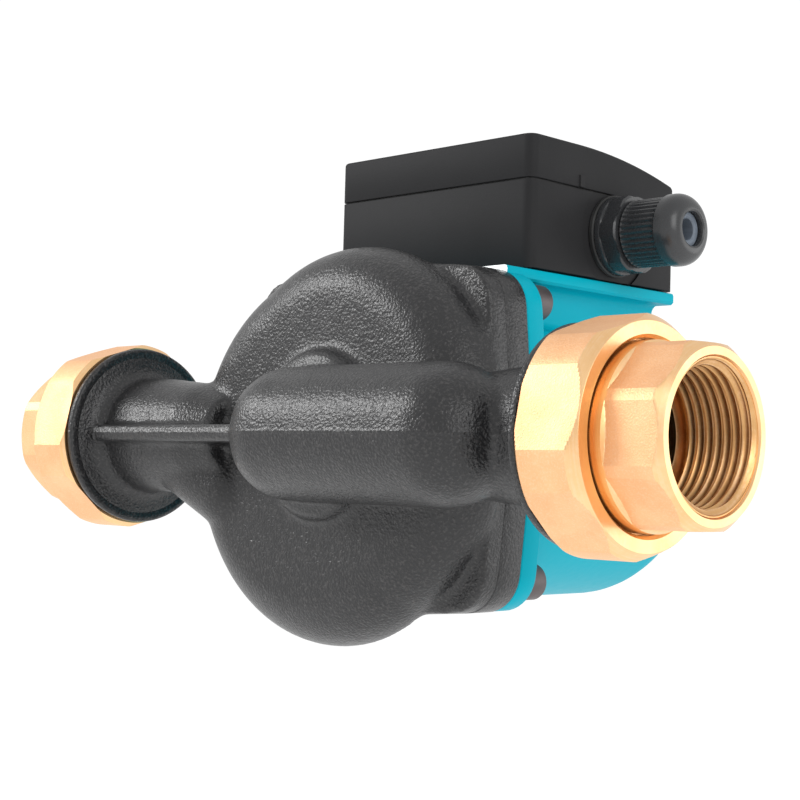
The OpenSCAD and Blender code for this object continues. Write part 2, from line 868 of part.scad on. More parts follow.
module terminal_screws() {
    color(steel) at_poles() translate([0, 0, floor_z + block_h / 3 + lead_r]) difference() {
        cylinder(r = pole_screw_r, h = block_h / 3);
        translate([0, 0, block_h / 3]) cube([3 * pole_screw_r, pole_slot_w, pole_slot_t], center = true);
    }
}

module capacitor() {
    cap_x = box_wall + cap_r + cap_gap - box_w / 2;
    color("#d6d2c4") translate([cap_x, box_y0 + cap_in, floor_z + cap_r])
        on_motor() disc(cap_r, cap_len, over, over);
}

module speed_switch() {
    y0 = box_y1 - box_wall - switch_len;
    color("#3c3f45") difference() {
        translate([knob_x - switch_w / 2, y0, floor_z])
            cube([switch_w, switch_len, knob_z + switch_over - floor_z]);
        translate([knob_x, y0 + switch_slot_in, knob_z]) on_motor() cylinder(r = stem_r, h = switch_len);
    }
}

module speed_knob() {
    y0 = box_y1 + knob_gap;
    color("#e8e8e6") translate([knob_x, 0, knob_z]) difference() {
        union() {
            on_motor(y0) disc(knob_d / 2, knob_t / 2, edge_round, knob_round);
            on_motor(box_y1 - box_wall - stem_in)
                cylinder(r = stem_r - run, h = box_wall + stem_in + knob_gap + over);
            translate([0, y0 + knob_t / 2, 0])
                cube([knob_d * knob_grip_share, knob_t, knob_d * knob_grip_len_share], center = true);
        }
        translate([-knob_mark_w / 2, y0 + knob_t - knob_mark_t, knob_d * knob_mark_share])
            cube([knob_mark_w, over, knob_d * knob_mark_len_share]);
    }
}

module lead_grommet() {
    color(rubber) translate([0, grommet_y, shelf_z - shelf_t]) 
        ring(grommet_r, grommet_hole_r, grommet_len);
}

module stator_leads() {
    pole_z = floor_z + block_h / 3;
    for (k = [-1:1]) color([0.5 + 0.3 * k, 0.25, 0.5 - 0.2 * k]) {
        foot = [lead_step * k, grommet_y + lead_shift * k, shell_in_r];
        pole = [box_w / 4 - block_w / 2 + k * pole_pitch, block_y, pole_z];
        translate(foot) cylinder(r = lead_r, h = pole_z + lead_lap - foot[2]);
        turn = [pole[0], foot[1] - lead_bend, pole_z];
        bar([foot[0], foot[1], pole_z], turn, lead_r * 0.94);
        bar(turn, pole, lead_r * 0.88);
    }
}

module on_gland(x = 0) {
    translate([x, gland_y, gland_z]) on_pipe() children();
}

module gland_washer() {
    color(black) on_gland(gland_x0) ring(gland_washer_d / 2, gland_r + run, gland_washer_t);
}

module gland_body() {
    wall_in_x = box_w / 2 - box_wall;
    stub_x0 = wall_in_x - locknut_t - gland_stub;
    color(black) difference() {
        union() {
            on_gland(stub_x0) cylinder(r = gland_r, h = gland_body_x0 - stub_x0 + over);
            on_gland(gland_body_x0) cylinder(r = gland_flange_r, h = gland_flange_t);
            on_gland(gland_body_x0) intersection() {
                cylinder(r = gland_flange_r, h = gland_collar_len - loose);
                cylinder(d = gland_washer_d, h = gland_collar_len, $fn = 6);
            }
            on_gland(gland_body_x0) cylinder(r = gland_neck_r, h = gland_collar_len + gland_grip_len * 0.6);
        }
        on_gland(stub_x0 - over) cylinder(r = gland_bore_r, h = box_w);
        on_gland(gland_body_x0 + gland_collar_len) cylinder(r = gland_seal_r + run, h = box_w);
    }
}

module gland_locknut() {
    color(black) on_gland(box_w / 2 - box_wall - locknut_t) difference() {
        rotate(30) cylinder(d = locknut_d, h = locknut_t, $fn = 6);
        translate([0, 0, -over]) cylinder(r = gland_r + run, h = locknut_t + 2 * over);
    }
}

module gland_seal() {
    x0 = gland_body_x0 + gland_collar_len + seal_start;
    color("#6f7683") on_gland(x0) ring(gland_seal_r, cable_hole_d / 2, gland_end_x - gland_end_t - x0);
}

module gland_claw() {
    x0 = gland_dome_x0 - claw_len;
    len = gland_end_x - gland_end_t - x0;
    color("#55585e") difference() {
        on_gland(x0) ring(gland_neck_r, gland_neck_r - claw_t, len);
        for (a = [0:30:330]) on_gland(x0 + len / 3) rotate(a)
            translate([gland_neck_r, 0, len / 2]) cube([claw_slot_d, claw_slot_w, len], center = true);
    }
}

module gland_nut() {
    inner_r = gland_neck_r + run;
    color(black) difference() {
        union() {
            on_gland(gland_grip_x0) cylinder(r = gland_grip_d / 2, h = gland_grip_len + over);
            on_gland(gland_dome_x0) disc(gland_dome_d / 2, gland_dome_len, dome_edge, gland_dome_len * 0.6);
        }
        on_gland(gland_grip_x0 - over)
            cylinder(r = inner_r, h = gland_end_x - gland_end_t - gland_grip_x0 + over);
        on_gland(gland_grip_x0 - over) cylinder(r = gland_mouth_d / 2, h = box_w);
        for (k = [0:flutes - 1]) on_gland(gland_grip_x0 - over) rotate(360 * k / flutes)
            translate([gland_grip_d / 2 + flute_out, 0, 0])
                cylinder(r = flute_r, h = gland_grip_len - flute_end, $fn = 16);
    }
}

// Half of one blade's outline: an arc that trails from the hub to the rim
module blade() {
    r1 = eye_r + blade_root;
    lag = 55;
    arc_r = impeller_r * blade_arc_share;
    p = [r1, 0];
    q = [impeller_r * cos(lag), -impeller_r * sin(lag)];
    m = (p + q) / 2;
    d = q - p;
    h = sqrt(arc_r * arc_r - d * d / 4);
    c = m + h * [d[1], -d[0]] / norm(d);
    intersection() {
        difference() {
            translate(c) circle(r = arc_r + blade_t / 2);
            translate(c) circle(r = arc_r - blade_t / 2);
        }
        difference() {
            circle(r = impeller_r - impeller_edge);
            circle(r = r1);
        }
        polygon([
            [0, 0],
            [impeller_d * cos(18), impeller_d * sin(18)],
            [impeller_d, -impeller_r],
            [impeller_d * cos(lag + 14), -impeller_d * sin(lag + 14)]
        ]);
    }
}

module impeller() {
    color("#d9d2bd") difference() {
        union() {
            on_motor(back_y0) cylinder(r = impeller_r, h = blade_t);
            on_motor(shroud_y1 + hub_y) cylinder(r = hub_r, h = back_y1 + hub_proud - shroud_y1 - hub_y);
            for (k = [0:blades - 1]) on_motor(shroud_y1) rotate(360 * k / blades)
                linear_extrude(channel_w + over / 2) blade();
        }
        on_motor(-over) cylinder(r = shaft_r, h = joint_y);
    }
}

module impeller_shroud() {
    neck_y0 = chamber_y0 - eye_neck_len;
    color("#cfc7b0") difference() {
        union() {
            on_motor(shroud_y0) cylinder(r = impeller_r, h = blade_t);
            on_motor(neck_y0) cylinder(r = eye_r + eye_wall, h = shroud_y1 - neck_y0);
        }
        on_motor(neck_y0 - over) cylinder(r = eye_r, h = joint_y);
    }
}

module rotor_shaft() {
    color("#efece4") on_motor(shroud_y1) disc(shaft_r, rear_bush_y0 + bush_len - shroud_y1, inner_round,
        inner_round);
}

module thrust_washer() {
    color("#333333") on_motor(front_bush_y0 + bush_len + loose)
        ring(shaft_r + rotor_washer_t, shaft_r, stack_y0 - end_ring_t - front_bush_y0 - bush_len - loose);
}

module rotor_core() {
    color("#8b8f94") on_motor(stack_y0) ring(rotor_r - sleeve_t, shaft_r, stack_len);
}

module rotor_end_rings() {
    color("#c4c7cb") for (y = [stack_y0 - end_ring_t, stack_y1])
        on_motor(y) ring(rotor_r - sleeve_t, shaft_r, end_ring_t);
}

module rotor_sleeve() {
    color(steel) on_motor(stack_y0 - end_ring_t)
        ring(rotor_r, rotor_r - sleeve_t, stack_len + 2 * end_ring_t);
}

module gasket() {
    color("#1b1b1b") on_pipe(port_x)
        ring(collar_d / 2 - gasket_in, passage_r + gasket_hole, union_gasket_t);
}

module tailpiece() {
    color(brass) difference() {
        union() {
            on_pipe(collar_x0) cylinder(r = collar_d / 2, h = collar_t);
            on_pipe(lip_x0 - over) cylinder(r = tail_neck_d / 2, h = tail_neck_len + over);
            intersection() {
                on_pipe(tail_flats_x0 - over) rotate(22.5)
                    cylinder(r = tail_flats / 2 / cos(22.5), h = tail_flats_len + over, $fn = 8);
                union() {
                    on_pipe(tail_flats_x0 - over)
                        cylinder(r = tail_corner_r, h = tail_flats_len + over - tail_fade);
                    on_pipe(mouth_x - tail_fade)
                        cylinder(r1 = tail_corner_r, r2 = mouth_ring_d / 2, h = tail_fade);
                }
            }
        }
        on_pipe(collar_x0 - over) cylinder(r = tail_bore_d / 2, h = port_x);
        on_pipe(mouth_x - pipe_thread_len) cylinder(r = pipe_thread_d / 2, h = port_x);
        on_pipe(mouth_x - mouth_sink)
            cylinder(r1 = pipe_thread_d / 2, r2 = mouth_d / 2 + over, h = mouth_sink + over);
    }
}

// Turn of the nut's flats about the pipe, as in the photograph
nut_clock = 48;

module union_nut() {
    nut_len = lip_x1 - nut_x0;
    color(brass) difference() {
        intersection() {
            on_pipe(nut_x0) rotate(nut_clock)
                cylinder(r = nut_flats / 2 / cos(30), h = nut_len, $fn = 6);
            union() {
                on_pipe(nut_x0 + nut_chamfer)
                    cylinder(r = nut_corner_d / 2, h = nut_len - nut_chamfer - nut_cone);
                on_pipe(nut_x0) cylinder(r1 = nut_corner_d / 2 - nut_chamfer,
                    r2 = nut_corner_d / 2, h = nut_chamfer);
                on_pipe(lip_x1 - nut_cone) cylinder(r1 = nut_corner_d / 2,
                    r2 = nut_flats / 2 - nut_face_in, h = nut_cone);
            }
        }
        on_pipe(nut_x0 - over) cylinder(r = port_thread_d / 2 + run, h = lip_x0 - nut_x0 + over);
        on_pipe(nut_x0) cylinder(r = nut_lip_d / 2, h = port_x);
        on_pipe(lip_x1 - nut_hole_chamfer) cylinder(r1 = nut_lip_d / 2,
            r2 = nut_lip_d / 2 + nut_hole_chamfer + over, h = nut_hole_chamfer + over);
    }
}

module inlet_gasket() {
    gasket();
}

module inlet_tailpiece() {
    tailpiece();
}

module inlet_union_nut() {
    union_nut();
}

module outlet_gasket() {
    mirror([1, 0, 0]) gasket();
}

module outlet_tailpiece() {
    mirror([1, 0, 0]) tailpiece();
}

module outlet_union_nut() {
    mirror([1, 0, 0]) union_nut();
}

pump_housing();
wear_ring();
housing_seal();
bearing_plate();
front_bearing();
rotor_can();
rear_bearing();
motor_housing();
stator_core();
stator_winding();
motor_screws();
motor_screw_washers();
vent_plug();
vent_plug_seal();
rating_plate();
box_seat_gasket();
terminal_box_base();
cover_gasket();
terminal_box_cover();
cover_screws();
box_screws();
earth_screw();
terminal_block();
terminal_screws();
capacitor();
speed_switch();
speed_knob();
lead_grommet();
stator_leads();
gland_washer();
gland_body();
gland_locknut();
gland_seal();
gland_claw();
gland_nut();
impeller();
impeller_shroud();
rotor_shaft();
thrust_washer();
rotor_core();
rotor_end_rings();
rotor_sleeve();
inlet_gasket();
inlet_tailpiece();
inlet_union_nut();
outlet_gasket();
outlet_tailpiece();
outlet_union_nut();
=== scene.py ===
import json
import math

import bmesh
import bpy
from mathutils import Matrix, Vector

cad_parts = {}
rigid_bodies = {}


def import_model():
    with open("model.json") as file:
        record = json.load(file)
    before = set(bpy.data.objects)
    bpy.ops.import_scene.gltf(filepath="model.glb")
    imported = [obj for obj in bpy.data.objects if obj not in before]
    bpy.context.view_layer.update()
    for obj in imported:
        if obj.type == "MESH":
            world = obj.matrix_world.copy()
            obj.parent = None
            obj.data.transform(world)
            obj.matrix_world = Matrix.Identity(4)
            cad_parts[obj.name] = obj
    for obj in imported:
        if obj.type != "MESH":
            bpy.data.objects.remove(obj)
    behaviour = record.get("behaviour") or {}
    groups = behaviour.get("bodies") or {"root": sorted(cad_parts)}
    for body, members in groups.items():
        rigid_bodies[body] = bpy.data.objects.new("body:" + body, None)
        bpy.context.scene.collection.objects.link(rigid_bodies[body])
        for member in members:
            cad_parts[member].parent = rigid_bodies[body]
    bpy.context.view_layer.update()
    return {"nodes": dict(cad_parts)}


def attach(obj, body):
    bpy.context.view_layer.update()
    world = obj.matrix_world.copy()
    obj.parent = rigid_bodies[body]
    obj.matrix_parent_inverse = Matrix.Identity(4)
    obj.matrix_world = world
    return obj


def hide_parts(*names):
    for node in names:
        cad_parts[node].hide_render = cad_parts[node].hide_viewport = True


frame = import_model()
cadNodes = frame["nodes"]
print("frame loaded:", len(cadNodes), "nodes")

mm = 0.001
turn = 2 * math.pi
xAxis, yAxis, zAxis = Vector((1, 0, 0)), Vector((0, 1, 0)), Vector((0, 0, 1))


class Wire:
    def __init__(self, finish, socket):
        self.finish, self.socket = finish, socket

    def calc(self, operation, first, second=0.0):
        return self.finish.node("ShaderNodeMath", {"operation": operation}, {0: first, 1: second})

    def __add__(self, other):
        return self.calc("ADD", self, other)

    def __sub__(self, other):
        return self.calc("SUBTRACT", self, other)

    def __mul__(self, other):
        return self.calc("MULTIPLY", self, other)

    def __rsub__(self, other):
        return self.calc("SUBTRACT", other, self)

    __radd__ = __add__

    def above(self, level, soft=0.05):  # 0 below the level, 1 above it
        settings = {"interpolation_type": "SMOOTHSTEP"}
        sockets = {"Value": self, "From Min": level - soft, "From Max": level + soft}
        return self.finish.node("ShaderNodeMapRange", settings, sockets)


class Finish:
    def __init__(self, name, **surface):
        self.material = bpy.data.materials.new(name)
        self.material.use_nodes = True
        self.tree = self.material.node_tree
        self.shader = self.tree.nodes["Principled BSDF"]
        self.surface(**surface)

    def node(self, kind, settings=None, sockets=None, out=0):
        made = self.tree.nodes.new(kind)
        for name, value in (settings or {}).items():
            if name == "stops":
                ramp = made.color_ramp.elements
                while len(ramp) < len(value):
                    ramp.new(0.5)
                for stop, (place, shade) in zip(ramp, value):
                    stop.position, stop.color = place, (*shade, 1)
            else:
                setattr(made, name, value)
        for name, value in (sockets or {}).items():
            self.feed(made.inputs[name], value)
        return Wire(self, made.outputs[out])

    def feed(self, socket, value):
        if isinstance(value, Wire):
            self.tree.links.new(value.socket, socket)
        elif hasattr(socket.default_value, "__len__") and len(socket.default_value) == 4:
            socket.default_value = (*value, 1) if len(value) == 3 else value
        else:
            socket.default_value = value

    def surface(self, **values):
        for name, value in values.items():
            self.feed(self.shader.inputs[name.replace("_", " ")], value)
        return self

    def place(self, stretch=None):
        at = self.node("ShaderNodeTexCoord", out=3)
        if stretch:
            at = self.node("ShaderNodeMapping", {}, {"Vector": at, "Scale": stretch})
        return at

    def noise(self, size, detail=2.0, rough=0.5, stretch=None):
        sockets = {"Vector": self.place(stretch), "Scale": 1 / size, "Detail": detail, "Roughness": rough}
        return self.node("ShaderNodeTexNoise", {}, sockets)

    def cells(self, size, feature="F1"):
        sockets = {"Vector": self.place(), "Scale": 1 / size}
        return self.node("ShaderNodeTexVoronoi", {"feature": feature}, sockets)

    def blend(self, share, first, second):
        return self.node("ShaderNodeMix", {"data_type": "RGBA"}, {0: share, 6: first, 7: second}, 2)

    def axisOf(self, which):
        return self.node("ShaderNodeSeparateXYZ", {}, {0: self.place()}, which)

    def bump(self, height, depth, strength=1.0, under=None):
        sockets = {"Height": height, "Distance": depth, "Strength": strength}
        if under:
            sockets["Normal"] = under
        return self.node("ShaderNodeBump", {}, sockets)


def makePaintedIron():
    look = dict(base=(0.014, 0.014, 0.015), wornAndGlints=(0.042, 0.040, 0.040), grain=0.00072,
                deep=0.00027, seamScale=1400)
    f = Finish("paintedIron", Metallic=0.0, Specular_IOR_Level=0.50)
    grains = f.noise(look["grain"], 2, 0.55)
    pits = f.cells(look["grain"] * 0.9, "SMOOTH_F1")
    swell = f.noise(0.0055, 2)
    fromSeam = f.node("ShaderNodeMath", {"operation": "ABSOLUTE"}, {0: f.axisOf(2) * look["seamScale"]})
    seamLine = 1 - fromSeam.above(0.55, 0.5)
    height = grains * 0.8 + pits * 0.4
    broad = f.bump(swell + seamLine * 0.35, 0.0004, 0.5)
    # the lighter colour on the grain's peaks is partly wear and partly painted glints
    f.surface(
        Base_Color=f.blend(grains.above(0.60, 0.10), look["base"], look["wornAndGlints"]),
        Roughness=0.30 + swell * 0.08 - grains * 0.06,
        Normal=f.bump(height, look["deep"], 1.0, broad),
    )
    return f.material


def makeMachinedIron():
    f = Finish("machinedIron", Metallic=0.0, Specular_IOR_Level=0.55)
    fine = f.noise(0.0004, 2)
    f.surface(
        Base_Color=f.blend(f.noise(0.004, 3), (0.026, 0.026, 0.028), (0.045, 0.045, 0.047)),
        Roughness=0.34 + fine * 0.12,
        Normal=f.bump(fine, 0.00003, 0.6),
    )
    return f.material


def makeTealPaint():
    f = Finish("tealPaint", Metallic=0.0, Specular_IOR_Level=0.06)
    peel = f.noise(0.0022, 2)
    dust = f.cells(0.0009).above(0.10, 0.04)
    f.surface(
        Base_Color=f.blend(f.noise(0.02, 2), (0.0, 0.36, 0.46), (0.0, 0.38, 0.485)),
        Roughness=0.36 + peel * 0.10,
        Normal=f.bump(peel * 0.7 + dust * 0.15, 0.00009, 0.6),
    )
    return f.material


def makeBareAluminium():
    f = Finish("bareAluminium", Metallic=1.0)
    lines = f.noise(0.0005, 2, stretch=(0.12, 1, 1))
    f.surface(
        Base_Color=f.blend(lines, (0.62, 0.66, 0.67), (0.86, 0.88, 0.88)),
        Roughness=0.30 + lines * 0.25,
        Normal=f.bump(lines, 0.00005, 0.7),
    )
    return f.material


def makeBrass(name, light, dark, grainSize, deep, rough, turned=False):
    f = Finish(name, Metallic=1.0)
    grains = f.noise(grainSize, 3, 0.6)
    tarnish = f.noise(0.009, 3, 0.55)
    shade = f.blend(tarnish.above(0.5, 0.25), light, dark)
    if turned:  # fine rings left by the lathe, about the pipe's axis
        rings = f.noise(0.00035, 1, stretch=(1, 0.02, 0.02))
        grains = grains * 0.4 + rings * 0.6
    f.surface(
        Base_Color=f.blend(grains.above(0.58, 0.15) * 0.30, shade, (1.0, 0.76, 0.54)),
        Roughness=rough + grains * 0.14 + tarnish * 0.06,
        Normal=f.bump(grains, deep, 0.8),
    )
    return f.material


def makeMouldedPlastic(name, colour, rough, texture=0.00035, deep=0.00003, shine=0.5):
    f = Finish(name, Metallic=0.0, Specular_IOR_Level=shine)
    sparks = f.noise(texture, 2, 0.6)
    cloud = f.noise(0.02, 2)
    lighter = tuple(min(1, c * 1.25 + 0.003) for c in colour)
    f.surface(
        Base_Color=f.blend(cloud, colour, lighter),
        Roughness=rough + sparks * 0.10 + cloud * 0.05,
        Normal=f.bump(sparks, deep, 0.8),
    )
    return f.material


def makeSteel(name, colour, rough, along=(1, 1, 1), size=0.0004):
    f = Finish(name, Metallic=1.0)
    lines = f.noise(size, 2, stretch=along)
    stain = f.noise(0.006, 3)
    darker = tuple(c * 0.72 for c in colour)
    f.surface(
        Base_Color=f.blend(stain, darker, colour),
        Roughness=rough + lines * 0.16 + stain * 0.06,
        Normal=f.bump(lines, 0.00003, 0.7),
    )
    return f.material


def makeStack():  # edges of thin sheets, one every half millimetre along the motor
    f = Finish("sheetStack", Metallic=1.0)
    sheets = f.node("ShaderNodeTexWave", {"bands_direction": "Y"},
                    {"Vector": f.place(), "Scale": 320, "Distortion": 0.4})
    f.surface(
        Base_Color=f.blend(sheets, (0.22, 0.23, 0.25), (0.52, 0.53, 0.55)),
        Roughness=0.38 + sheets * 0.2,
        Normal=f.bump(sheets, 0.00012, 0.8),
    )
    return f.material


def makeWinding():  # varnished wires laid round the motor's axis
    f = Finish("varnishedCopper", Metallic=0.6, Specular_IOR_Level=0.6)
    wires = f.node("ShaderNodeTexWave", {"wave_type": "RINGS", "rings_direction": "Y"},
                   {"Vector": f.place(), "Scale": 260, "Distortion": 1.5, "Detail": 1})
    blot = f.noise(0.005, 3)
    f.surface(
        Base_Color=f.blend(wires, (0.22, 0.07, 0.02), (0.75, 0.33, 0.13)),
        Roughness=0.25 + blot * 0.25,
        Normal=f.bump(wires + blot * 0.3, 0.0004, 0.9),
    )
    return f.material


def makeRubber(name, colour, rough=0.62):
    f = Finish(name, Metallic=0.0, Specular_IOR_Level=0.4)
    skin = f.noise(0.0006, 3, 0.6)
    bloom = f.noise(0.007, 3)
    lighter = tuple(c * 1.5 + 0.01 for c in colour)
    f.surface(
        Base_Color=f.blend(bloom.above(0.55, 0.2), colour, lighter),
        Roughness=rough + bloom * 0.12,
        Normal=f.bump(skin, 0.00006, 0.7),
    )
    return f.material


paintedIron = makePaintedIron()
machinedIron = makeMachinedIron()
tealPaint = makeTealPaint()
bareAluminium = makeBareAluminium()
castBrass = makeBrass("castBrass", (0.95, 0.57, 0.31), (0.88, 0.49, 0.25), 0.00045, 0.00012, 0.42)
turnedBrass = makeBrass("turnedBrass", (0.95, 0.62, 0.32), (0.88, 0.53, 0.25), 0.0010, 0.00003, 0.22,
                        turned=True)
# a darker copy of the turned brass for the tailpiece's inner thread: painted shade inside the bore
boreShadedBrass = makeBrass("boreShadedBrass", (0.72, 0.42, 0.18), (0.60, 0.33, 0.13), 0.0008, 0.00003, 0.26,
                        turned=True)
boxPlastic = makeMouldedPlastic("boxPlastic", (0.020, 0.020, 0.021), 0.44, shine=0.08)
glandPlastic = makeMouldedPlastic("glandPlastic", (0.026, 0.027, 0.029), 0.20, 0.0009, 0.00001)
clawPlastic = makeMouldedPlastic("clawPlastic", (0.03, 0.032, 0.036), 0.38)
whitePlastic = makeMouldedPlastic("whitePlastic", (0.72, 0.72, 0.70), 0.40)
greyPlastic = makeMouldedPlastic("greyPlastic", (0.05, 0.053, 0.06), 0.42)
impellerPlastic = makeMouldedPlastic("glassFilledPlastic", (0.60, 0.55, 0.44), 0.45, 0.0007, 0.00006)
ceramic = makeMouldedPlastic("groundCeramic", (0.82, 0.80, 0.74), 0.18, 0.0005, 0.00001)
carbon = makeMouldedPlastic("groundCarbon", (0.025, 0.025, 0.028), 0.34, 0.0006, 0.00003)
fibre = makeMouldedPlastic("pressedFibre", (0.022, 0.022, 0.022), 0.70, 0.0005, 0.00010)
leadInsulation = makeMouldedPlastic("leadInsulation", (0.02, 0.05, 0.22), 0.40)
blackRubber = makeRubber("blackRubber", (0.018, 0.018, 0.018))
sealRubber = makeRubber("sealRubber", (0.13, 0.155, 0.19), 0.5)
darkSteel = makeSteel("darkScrewSteel", (0.17, 0.15, 0.15), 0.42, size=0.0006)
zincSteel = makeSteel("zincPlated", (0.66, 0.67, 0.69), 0.28)
stainless = makeSteel("stainless", (0.62, 0.63, 0.64), 0.24, (1, 0.05, 1))
labelSheet = makeSteel("brushedLabel", (0.72, 0.73, 0.74), 0.32, (0.05, 1, 1))
castAluminium = makeSteel("castAluminium", (0.70, 0.71, 0.72), 0.40, size=0.0008)
sheetStack = makeStack()
varnishedCopper = makeWinding()
print("finishes made")

nodeFinish = {
    "pump_housing": paintedIron, "wear_ring": stainless, "housing_seal": blackRubber,
    "bearing_plate": stainless, "front_bearing": carbon, "rotor_can": stainless,
    "rear_bearing": carbon, "motor_housing": tealPaint, "stator_core": sheetStack,
    "stator_winding": varnishedCopper, "motor_screws": darkSteel, "motor_screw_washers": darkSteel,
    "vent_plug": turnedBrass, "vent_plug_seal": blackRubber, "rating_plate": labelSheet,
    "box_seat_gasket": blackRubber, "terminal_box_base": boxPlastic, "cover_gasket": blackRubber,
    "terminal_box_cover": boxPlastic, "cover_screws": zincSteel, "box_screws": zincSteel,
    "earth_screw": turnedBrass, "terminal_block": whitePlastic, "terminal_screws": zincSteel,
    "capacitor": whitePlastic, "speed_switch": greyPlastic, "speed_knob": whitePlastic,
    "lead_grommet": blackRubber, "stator_leads": leadInsulation, "gland_washer": blackRubber,
    "gland_body": glandPlastic, "gland_locknut": glandPlastic, "gland_seal": sealRubber,
    "gland_claw": clawPlastic, "gland_nut": glandPlastic, "impeller": impellerPlastic,
    "impeller_shroud": impellerPlastic, "rotor_shaft": ceramic, "thrust_washer": carbon,
    "rotor_core": sheetStack, "rotor_end_rings": castAluminium, "rotor_sleeve": stainless,
    "inlet_gasket": fibre, "inlet_tailpiece": castBrass, "inlet_union_nut": castBrass,
    "outlet_gasket": fibre, "outlet_tailpiece": castBrass, "outlet_union_nut": castBrass,
}
for nodeName, finish in nodeFinish.items():
    mesh = cadNodes[nodeName].data
    mesh.materials.clear()
    mesh.materials.append(finish)


def addPiece(name, bm, body, finishes, stands=(), soft=30):
    bmesh.ops.recalc_face_normals(bm, faces=bm.faces)
    mesh = bpy.data.meshes.new(name)
    bm.to_mesh(mesh)
    bm.free()
    for finish in finishes:
        mesh.materials.append(finish)
    for face in mesh.polygons:
        face.use_smooth = True
    mesh.set_sharp_from_angle(angle=math.radians(soft))
    piece = bpy.data.objects.new(name, mesh)
    bpy.context.scene.collection.objects.link(piece)
    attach(piece, body)
    if stands:
        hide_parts(*stands)
    return piece


def loop(bm, points):
    verts = [bm.verts.new(p) for p in points]
    edges = [bm.edges.new(pair) for pair in zip(verts, verts[1:] + verts[:1])]
    return verts, edges


def slab(bm, points, shift):  # a flat outline drawn out along shift
    verts, _ = loop(bm, points)
    face = bm.faces.new(verts)
    grown = bmesh.ops.extrude_face_region(bm, geom=[face], use_keep_orig=True)
    moved = [g for g in grown["geom"] if isinstance(g, bmesh.types.BMVert)]
    bmesh.ops.translate(bm, verts=moved, vec=shift)
    return verts + moved


def soften(bm, width, angle=40, segments=2, only=None):
    edges = [e for e in bm.edges if len(e.link_faces) == 2
             and e.calc_face_angle(0) > math.radians(angle) and (only is None or only(e))]
    bmesh.ops.bevel(bm, geom=edges, offset=width, offset_type="OFFSET", affect="EDGES",
                    segments=segments, profile=0.5, material=-1, clamp_overlap=True)


def lathe(bm, axis, centre, profile, steps=96):  # turns a closed profile of (along, radius) points
    verts = [bm.verts.new(centre + axis * d + zAxis * r) for d, r in profile]
    edges = [bm.edges.new(pair) for pair in zip(verts, verts[1:] + verts[:1])]
    bmesh.ops.spin(bm, geom=verts + edges, cent=centre, axis=axis, angle=turn, steps=steps,
                   use_merge=True)
    bmesh.ops.remove_doubles(bm, verts=bm.verts, dist=1e-7)
    bmesh.ops.dissolve_degenerate(bm, edges=bm.edges, dist=1e-8)


def arc(cx, cy, r, start, end, steps=6):  # points of an arc, in degrees
    return [(cx + r * math.cos(math.radians(start + (end - start) * k / steps)),
             cy + r * math.sin(math.radians(start + (end - start) * k / steps)))
            for k in range(steps + 1)]


def scaled(points):  # from millimetres to metres
    return [(a * mm, b * mm) for a, b in points]


view = dict(yaw=-0.7788330, pitch=0.0486204, roll=0.0283772, place=(0.303634, -0.282837, -0.010303),
            lens=71.53)


def setCamera():
    yaw, pitch, roll = view["yaw"], view["pitch"], view["roll"]
    ahead = Vector((math.sin(yaw) * math.cos(pitch), math.cos(yaw) * math.cos(pitch), math.sin(pitch)))
    level = Vector((math.cos(yaw), -math.sin(yaw), 0))
    above = level.cross(ahead)
    right = level * math.cos(roll) + above * math.sin(roll)
    up = above * math.cos(roll) - level * math.sin(roll)
    camera = bpy.data.objects.new("camera", bpy.data.cameras.new("camera"))
    camera.data.sensor_width, camera.data.lens = 36, view["lens"]
    camera.data.clip_start, camera.data.clip_end = 0.01, 50
    camera.matrix_world = Matrix((
        (right.x, up.x, -ahead.x, view["place"][0]),
        (right.y, up.y, -ahead.y, view["place"][1]),
        (right.z, up.z, -ahead.z, view["place"][2]),
        (0, 0, 0, 1)))
    bpy.context.scene.collection.objects.link(camera)
    bpy.context.scene.camera = camera


studio = dict(floorBelow=0.30, floorSize=24.0, sky=0.86, backdrop=1.05)


def setStudio():
    bm = bmesh.new()
    bmesh.ops.create_grid(bm, x_segments=4, y_segments=4, size=studio["floorSize"])
    bmesh.ops.translate(bm, verts=bm.verts, vec=(0, 0, -studio["floorBelow"]))
    mesh = bpy.data.meshes.new("floor")
    bm.to_mesh(mesh)
    bm.free()
    paper = Finish("paleFloor", Roughness=0.9)
    paper.surface(Base_Color=paper.blend(paper.noise(0.5, 2), (0.64, 0.64, 0.64), (0.66, 0.66, 0.66)),
                  Emission_Color=(1, 1, 1, 1), Emission_Strength=0.45)
    mesh.materials.append(paper.material)
    floor = bpy.data.objects.new("floor", mesh)
    bpy.context.scene.collection.objects.link(floor)

    world = bpy.data.worlds.new("studio")
    world.use_nodes = True
    sky, links = world.node_tree.nodes, world.node_tree.links
    seen = sky.new("ShaderNodeBackground")
    seen.inputs["Color"].default_value = (1, 1, 1, 1)
    seen.inputs["Strength"].default_value = studio["backdrop"]
    lit = sky["Background"]
    lit.inputs["Color"].default_value = (1.0, 1.0, 1.0, 1)
    lit.inputs["Strength"].default_value = studio["sky"]
    path, mix = sky.new("ShaderNodeLightPath"), sky.new("ShaderNodeMixShader")
    links.new(path.outputs["Is Camera Ray"], mix.inputs[0])
    links.new(lit.outputs[0], mix.inputs[1])
    links.new(seen.outputs[0], mix.inputs[2])
    links.new(mix.outputs[0], sky["World Output"].inputs["Surface"])
    bpy.context.scene.world = world
    bpy.context.scene.view_settings.view_transform = "Standard"


def addLamp(name, place, target, size, power):
    lamp = bpy.data.lights.new(name, "AREA")
    lamp.shape, lamp.size, lamp.size_y = "RECTANGLE", size[0], size[1]
    lamp.energy = power
    holder = bpy.data.objects.new(name, lamp)
    aim = (Vector(target) - Vector(place)).to_track_quat("-Z", "Y")
    holder.matrix_world = Matrix.Translation(place) @ aim.to_matrix().to_4x4()
    bpy.context.scene.collection.objects.link(holder)


